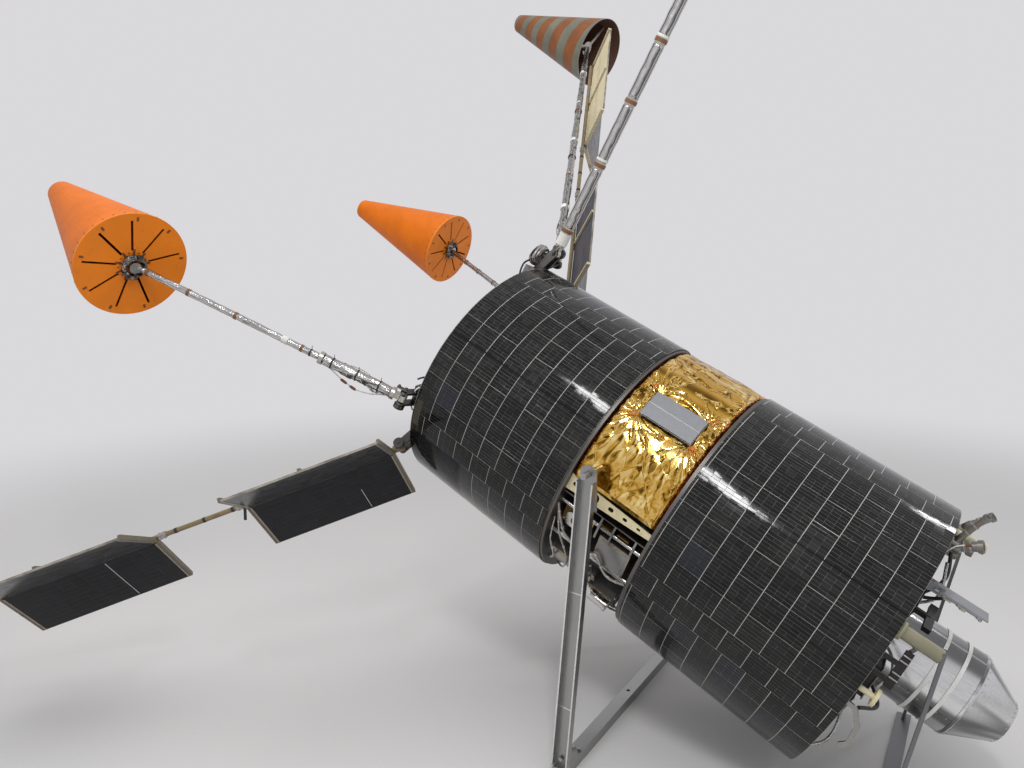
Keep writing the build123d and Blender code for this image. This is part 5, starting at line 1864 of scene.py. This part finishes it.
@dataclass
class LowerGear:
    """Small gear on the lower deck: duct, hook, disc, sensors and probe, and wiring round the canister."""

    kit: Kit
    runs: tuple = (
        (0.0048, 0, ((0.694, 0.150, 96), (0.728, 0.190, 98), (0.744, 0.256, 99), (0.716, 0.330, 99))),
        (0.0040, 2, ((0.694, 0.136, 108), (0.724, 0.180, 112), (0.748, 0.240, 112), (0.720, 0.318, 106))),
        (0.0044, 0, ((0.694, 0.210, 118), (0.736, 0.256, 120), (0.752, 0.292, 121), (0.730, 0.304, 122))),
        (0.0050, 0, ((0.694, 0.140, 140), (0.740, 0.196, 146), (0.756, 0.268, 150), (0.742, 0.336, 154))),
        (0.0040, 1, ((0.694, 0.146, 156), (0.728, 0.212, 160), (0.742, 0.296, 166), (0.726, 0.350, 172))),
        (0.0046, 0, ((0.694, 0.140, 190), (0.742, 0.206, 188), (0.760, 0.290, 184), (0.722, 0.360, 182))),
        (0.0040, 2, ((0.694, 0.146, 228), (0.730, 0.220, 232), (0.740, 0.300, 236), (0.696, 0.360, 240))),
        (0.0046, 0, ((0.694, 0.146, 288), (0.730, 0.220, 294), (0.740, 0.300, 298), (0.696, 0.360, 302))),
        (0.0040, 1, ((0.694, 0.150, 30), (0.730, 0.220, 34), (0.742, 0.300, 38), (0.696, 0.360, 42))))
    sensors: tuple = ((0.020, -0.034, 62, 0.009, 0.074), (0.002, 0.030, 38, 0.012, 0.052),
                      (0.016, 0.040, 78, 0.007, 0.096), (-0.014, -0.024, 8, 0.013, 0.034))
    sensor_foot: tuple = (0.680, 0.355, 99)
    sensor_z: float = 0.017
    sensor_rings: tuple = ((0.42, 0.003), (0.66, 0.005), (0.97, 0.002))
    cleats: tuple = (-0.046, 0.0, 0.046)
    deck_face: float = 0.681
    probe: tuple = (0.680, -0.160, 0.262)
    slides: tuple = ((0.0, 0.074, (0.030, 0.008, 0.020)), (-0.012, 0.110, (0.010, 0.008, 0.014)),
                     (0.012, 0.130, (0.010, 0.008, 0.014)), (0.0, 0.150, (0.036, 0.006, 0.006)))
    collars: tuple = ((-0.0125, 0.0125), (0.060, 0.095, 0.140))
    duct_rings: tuple = (156.0, 158.0, 162.5, 164.5)
    packs: tuple = ((0.250, 176, 0.070, 0.090, 0.044), (0.230, 204, 0.060, 0.110, 0.036),
                    (0.250, 128, 0.060, 0.070, 0.032), (0.260, 60, 0.080, 0.100, 0.040),
                    (0.240, 258, 0.070, 0.120, 0.034), (0.250, 330, 0.080, 0.090, 0.040))

    def deck_packs(self, dark: Finish) -> None:
        """Build the dark packs that stand on the deck between its ribs."""
        shape, spots = Shape("deck_packs"), []
        for radius, turn, deep, wide, high in self.packs:
            base = DRUM.on_rim(self.deck_face + high / 2, radius, turn)
            shape.block(base, (high, wide, deep), 0)
            shape.block(base.moved(high / 2, 0, 0), (0.002, wide + 0.010, deep + 0.010), 1)
            spots += [(base.at(high / 2 + 0.001, sy * wide / 2, sz * deep / 2), base.x)
                      for sy in (-1, 1) for sz in (-1, 1)]
        shape.finish(Body.BUS, Slot.DARK, (dark, self.kit.screw), bevel=0.0006)
        self.kit.screws("pack_screws", Body.BUS, 0.0028, 0.0018, 0.8, spots)

    def wiring(self) -> None:
        """Build the tubes and looms between the canister and the rim."""
        shape = Shape("deck_looms")
        for radius, mark, stops in self.runs:
            shape.tube(smooth_path([DRUM.rim(*stop) for stop in stops], 8), radius, 10, mark)
        shape.finish(Body.BUS, Slot.DARK, (self.kit.black, self.kit.braid, self.kit.silver), sharp=80)

    def sensor_trim(self) -> None:
        """Build the bright rings, dark lenses, small plugs and leads of the sensors."""
        turned = DRUM.on_rim(*self.sensor_foot)
        base, shape = Axes(turned.origin, turned.z, -turned.y, turned.x), Shape("sensor_trim")
        for number, (x, y, lean, radius, length) in enumerate(self.sensors):
            angle, start = math.radians(lean), base.at(x, y, self.sensor_z + radius)
            axes = along_line(start, start + base.x * math.sin(angle) + base.z * math.cos(angle))
            for share, width in self.sensor_rings:
                shape.band(axes, share * length, share * length + width, radius - 0.001, radius + 0.0013, 0)
            shape.band(axes, length + radius, length + radius + 0.0006, 0.0005, radius * 0.85, 1)
            side, mark = (1, 3) if number % 2 else (-1, 1)
            plug = axes.at(0.6 * radius, side * (radius + 0.003), 0.55 * length)
            shape.tube((plug, plug + axes.z * 0.012), 0.0034, 10, 2)
            lead = [plug, plug - axes.z * 0.020 + base.y * side * 0.008,
                    base.at(x - 0.010, y + side * 0.026, 0.020), base.at(x - 0.022, y + side * 0.022, 0.004)]
            shape.tube(smooth_path(lead, 6), 0.0016, 8, mark)
        for y in self.cleats:
            shape.block(base.moved(0.018, y, 0.0155), (0.010, 0.012, 0.003), 0)
        shape.finish(Body.BUS, Slot.STEEL, (self.kit.screw, self.kit.black, self.kit.brown, self.kit.white))

    def mechanism(self) -> None:
        """Build the silver slide, screws and clamps on the probe plate, and rings on the duct."""
        shape, own = Shape("probe_mechanism"), DRUM.axes()
        axes = Axes(DRUM.point(*self.probe), own.y, own.z, own.x)
        for x, height, size in self.slides:
            shape.block(axes.moved(x, -0.006, height), size, 0)
        for x in self.collars[0]:
            for height in self.collars[1]:
                shape.band(axes.moved(x, -0.002, height), 0.0, 0.008, 0.0035, 0.0060, 0, 16)
        for turn in self.duct_rings:
            shape.block(DRUM.on_rim(0.7375, 0.3885, turn), (0.020, 0.003, 0.0016), 0)
        shape.finish(Body.BUS, Slot.STEEL, (self.kit.screw,), bevel=0.0004)

    def build(self) -> None:
        """Finish the CAD pieces and build the small gear."""
        black = Metal("black gear", (0.045, 0.044, 0.043), 0.4, stain_share=0.3).build()
        dress(black, "deck_duct")
        for node, finish in (
                # hook steel: its facets carry a painted dark reflection
                ("hook_arm", Metal("hook steel", (0.46, 0.46, 0.44), 0.25, stain_share=0.4, painted_reflection=2.0)),
                ("cream_fittings", Paint("cream fitting", (0.60, 0.53, 0.34), roughness=0.4, coat=0.3)),
                ("rim_sensors", Metal("sensor metal", (0.27, 0.265, 0.24), 0.40, stain_share=0.7)),
                ("deck_probe", Metal("probe plate", (0.34, 0.35, 0.37), 0.36, stain_share=0.3)),
                ("standoffs", Paint("cream stand-off", (0.22, 0.205, 0.13), roughness=0.35, coat=0.3))):
            dress(finish.build(), node)
        self.deck_packs(black)
        self.wiring()
        self.sensor_trim()
        self.mechanism()


# Stand


@dataclass
class Stand:
    """Legs and beams of the display stand, with their bolts and polished edges."""

    kit: Kit
    leg_y: float = 0.452
    leg_w: float = 0.048
    leg_d: float = 0.022
    beam_h: float = 0.030
    wall: float = 0.004
    foot_bolt: tuple = (0.0045, 0.050)
    beam_bolts: tuple = (0.36, 0.009)
    tab: tuple = (-0.072, 0.0, 0.116)
    lip_t: float = 0.0004
    shares: tuple = (0.21, 0.62)
    joint_size: tuple = (0.0008, 0.0028)
    weld_x: float = 0.022
    weld_run: tuple = (0.011, 0.0011, 21)
    weld_r: float = 0.0022
    weld_wave: float = 0.0008

    def bolts(self) -> None:
        """Set hex bolts by the feet and along the floor bars."""
        spots, (inset, height), (beam_y, beam_x) = [], self.foot_bolt, self.beam_bolts
        for side in (-1, 1):
            spots.append((Vector((0.0, side * (self.leg_y - inset), height)), Vector((0, side, 0))))
            for x in (-beam_x, beam_x):
                spots.append((Vector((x, side * beam_y, self.beam_h)), Vector((0, 0, 1))))
        self.kit.screws("stand_bolts", Body.BUS, 0.0070, 0.0052, 0.94, spots, 6)

    def edges(self, bright: Finish) -> None:
        """Build the worn, bright lips of the legs' flanges and their welds to the beam."""
        tab, shape = DRUM.point(*self.tab), Shape("leg_edges")
        back, pitch, count = self.weld_run
        for side in (-1, 1):
            low = Vector((0, side * self.leg_y, self.beam_h))
            high = Vector((tab.x, side * self.leg_y, tab.z))
            axes = along_line(low, high, Vector((1, 0, 0)))
            length = (high - low).length - 0.018
            for edge in (-1, 1):
                middle = low + axes.z * length / 2 + axes.x * edge * (self.leg_w - self.wall) / 2
                middle += Vector((0, side * (self.leg_d / 2 + 0.0001), 0))
                size = (self.wall, self.lip_t, length - self.wall)
                shape.block(Axes(middle, axes.x, axes.y, axes.z), size)
            for share in self.shares:
                joint = axes.at(0, 0, share * length)
                joint += Vector((0, -side * (self.leg_d / 2 - self.wall - 0.0003), 0))
                size = (self.leg_w - 2 * self.wall, *self.joint_size)
                shape.block(Axes(joint, axes.x, axes.y, axes.z), size)
            for x in (-self.weld_x, self.weld_x):
                weld = [Vector((x + self.weld_wave * math.sin(step * 2.1),
                                side * (self.leg_y - back + pitch * step), self.beam_h + 0.001))
                        for step in range(count)]
                shape.tube(weld, self.weld_r, 8)
        shape.finish(Body.BUS, Slot.STEEL, (bright,))

    def build(self) -> None:
        """Finish the stand and build its bolts and edges."""
        alloy = Metal("raw alloy", (0.40, 0.40, 0.395), 0.34, None, (10.0, 10.0, 1.2), 30.0,
                      (0.34, 0.33, 0.31), 0.35, 0.12).build()
        dress(alloy, "front_legs", "front_beam")
        dark = Metal("dark bar", (0.20, 0.20, 0.21), 0.42, stain_share=0.3).build()
        dress(dark, "rear_bars", "rear_floor_bar")
        self.bolts()
        self.edges(Metal("bright edge", (0.84, 0.84, 0.83), 0.22, stain_share=0.1).build())


# Studio


@dataclass(frozen=True)
class Lamp:
    """A rectangular soft lamp: its middle, where it points, its sides, its long way and power."""

    name: str
    place: tuple
    aim: tuple
    size: tuple
    watts: float
    long_way: tuple = (1.0, 0.0, 0.0)
    mirrored: bool = True

    def build(self) -> None:
        """Set up the lamp with its first side along the long way."""
        data = bpy.data.lights.new(self.name, "AREA")
        data.shape = "RECTANGLE"
        data.size, data.size_y = self.size
        data.energy = self.watts
        made = bpy.data.objects.new(self.name, data)
        bpy.context.scene.collection.objects.link(made)
        back = (Vector(self.place) - Vector(self.aim)).normalized()
        side = Vector(self.long_way)
        side = (side - back * side.dot(back)).normalized()
        made.matrix_world = Axes(Vector(self.place), side, back.cross(side), back).matrix()
        made.visible_glossy = self.mirrored


@dataclass
class Studio:
    """Camera at the photograph's place, soft lamps, pale floor and background."""

    eye: tuple = (0.932, -2.099, 1.370)
    right: tuple = (0.8372, 0.5467, -0.0106)
    up: tuple = (-0.0679, 0.1231, 0.9901)
    forward: tuple = (-0.5426, 0.8282, -0.1402)
    lens: float = 26.056
    floor_colour: tuple = (0.70, 0.69, 0.69)
    back_colour: tuple = (0.70, 0.69, 0.71)
    sensor: float = 36.0
    reach: float = 14.0
    fade: tuple = (2.2, 6.5)
    ambient: float = 0.50
    lamps: tuple = (
        Lamp("softbox", (-0.2, -0.6, 3.4), (-0.2, -0.3, 0.0), (5.0, 4.0), 76, mirrored=False),
        Lamp("strip A", (1.09, -1.98, 3.0), (0.39, -0.32, 0.86), (0.667, 0.26), 21, (0.33, -0.58, 0)),
        Lamp("strip C", (0.195, -1.63, 3.0), (0.03, -0.31, 1.04), (0.36, 0.20), 8, (0.119, -0.336, 0)),
        Lamp("strip B", (2.4, 2.43, 3.0), (0.85, -0.10, 0.78), (0.50, 0.18), 7, (0.27, 0.43, 0)))

    def camera(self) -> None:
        """Set up the camera."""
        data = bpy.data.cameras.new("camera")
        data.lens = self.lens
        data.sensor_width = self.sensor
        made = bpy.data.objects.new("camera", data)
        bpy.context.scene.collection.objects.link(made)
        back = Vector(self.forward) * -1
        made.matrix_world = Axes(Vector(self.eye), Vector(self.right), Vector(self.up), back).matrix()
        bpy.context.scene.camera = made

    def floor(self) -> None:
        """Add the pale floor, which fades into the background's colour far off."""
        mesh = bpy.data.meshes.new("floor")
        reach = self.reach
        mesh.from_pydata([(-reach, -reach, 0), (reach, -reach, 0), (reach, reach, 0), (-reach, reach, 0)],
                         [], [(0, 1, 2, 3)])
        made = bpy.data.objects.new("floor", mesh)
        bpy.context.scene.collection.objects.link(made)
        g = Graph("floor")
        where = g.place()
        fine = g.noise(where, 90.0, 3.0)
        fade = g.between(g.vector("LENGTH", where).outputs["Value"], *self.fade)
        near = g.mix(fine, tuple(c * 0.96 for c in self.floor_colour), self.floor_colour)
        g.set(Base_Color=g.mix(fade, near, (0.0, 0.0, 0.0)), Roughness=0.75,
              Specular_IOR_Level=g.between(fade, 0.0, 1.0, 0.2, 0.0),
              Emission_Color=self.back_colour, Emission_Strength=fade)
        mesh.materials.append(g.material)

    def world(self) -> None:
        """Set the pale background and the soft light from all round."""
        world = bpy.data.worlds.new("studio")
        bpy.context.scene.world = world
        world.use_nodes = True
        g = Nodes(world.node_tree)
        light = g.node("ShaderNodeBackground", {0: (1.0, 1.0, 1.0), 1: self.ambient})
        shown = g.node("ShaderNodeBackground", {0: self.back_colour})
        path = g.node("ShaderNodeLightPath", {})
        seen = path.outputs["Is Camera Ray"]
        for ray in ("Is Glossy Ray", "Is Transmission Ray"):
            seen = g.node("ShaderNodeMath", {0: seen, 1: path.outputs[ray]}, operation="MAXIMUM").outputs[0]
        mixed = g.node("ShaderNodeMixShader", {0: seen, 1: light.outputs[0], 2: shown.outputs[0]})
        g.node("ShaderNodeOutputWorld", {0: mixed.outputs[0]})

    def build(self) -> None:
        """Build the whole studio."""
        bpy.context.scene.view_settings.view_transform = "Standard"
        self.camera()
        self.world()
        self.floor()
        for lamp in self.lamps:
            lamp.build()


def main() -> None:
    """Build every sub-assembly in order."""
    logging.basicConfig(level=logging.INFO, format="%(name)s %(message)s")
    noise.seed_set(FOLD_SEED)
    kit = Kit()
    for assembly in (Studio(), Drums(kit), Waist(kit), Bay(kit), Booms(kit), Wings(kit), Canister(kit),
                     LowerGear(kit), Stand(kit)):
        LOG.info("building %s", type(assembly).__name__)
        assembly.build()


if __name__ == "__main__":
    main()
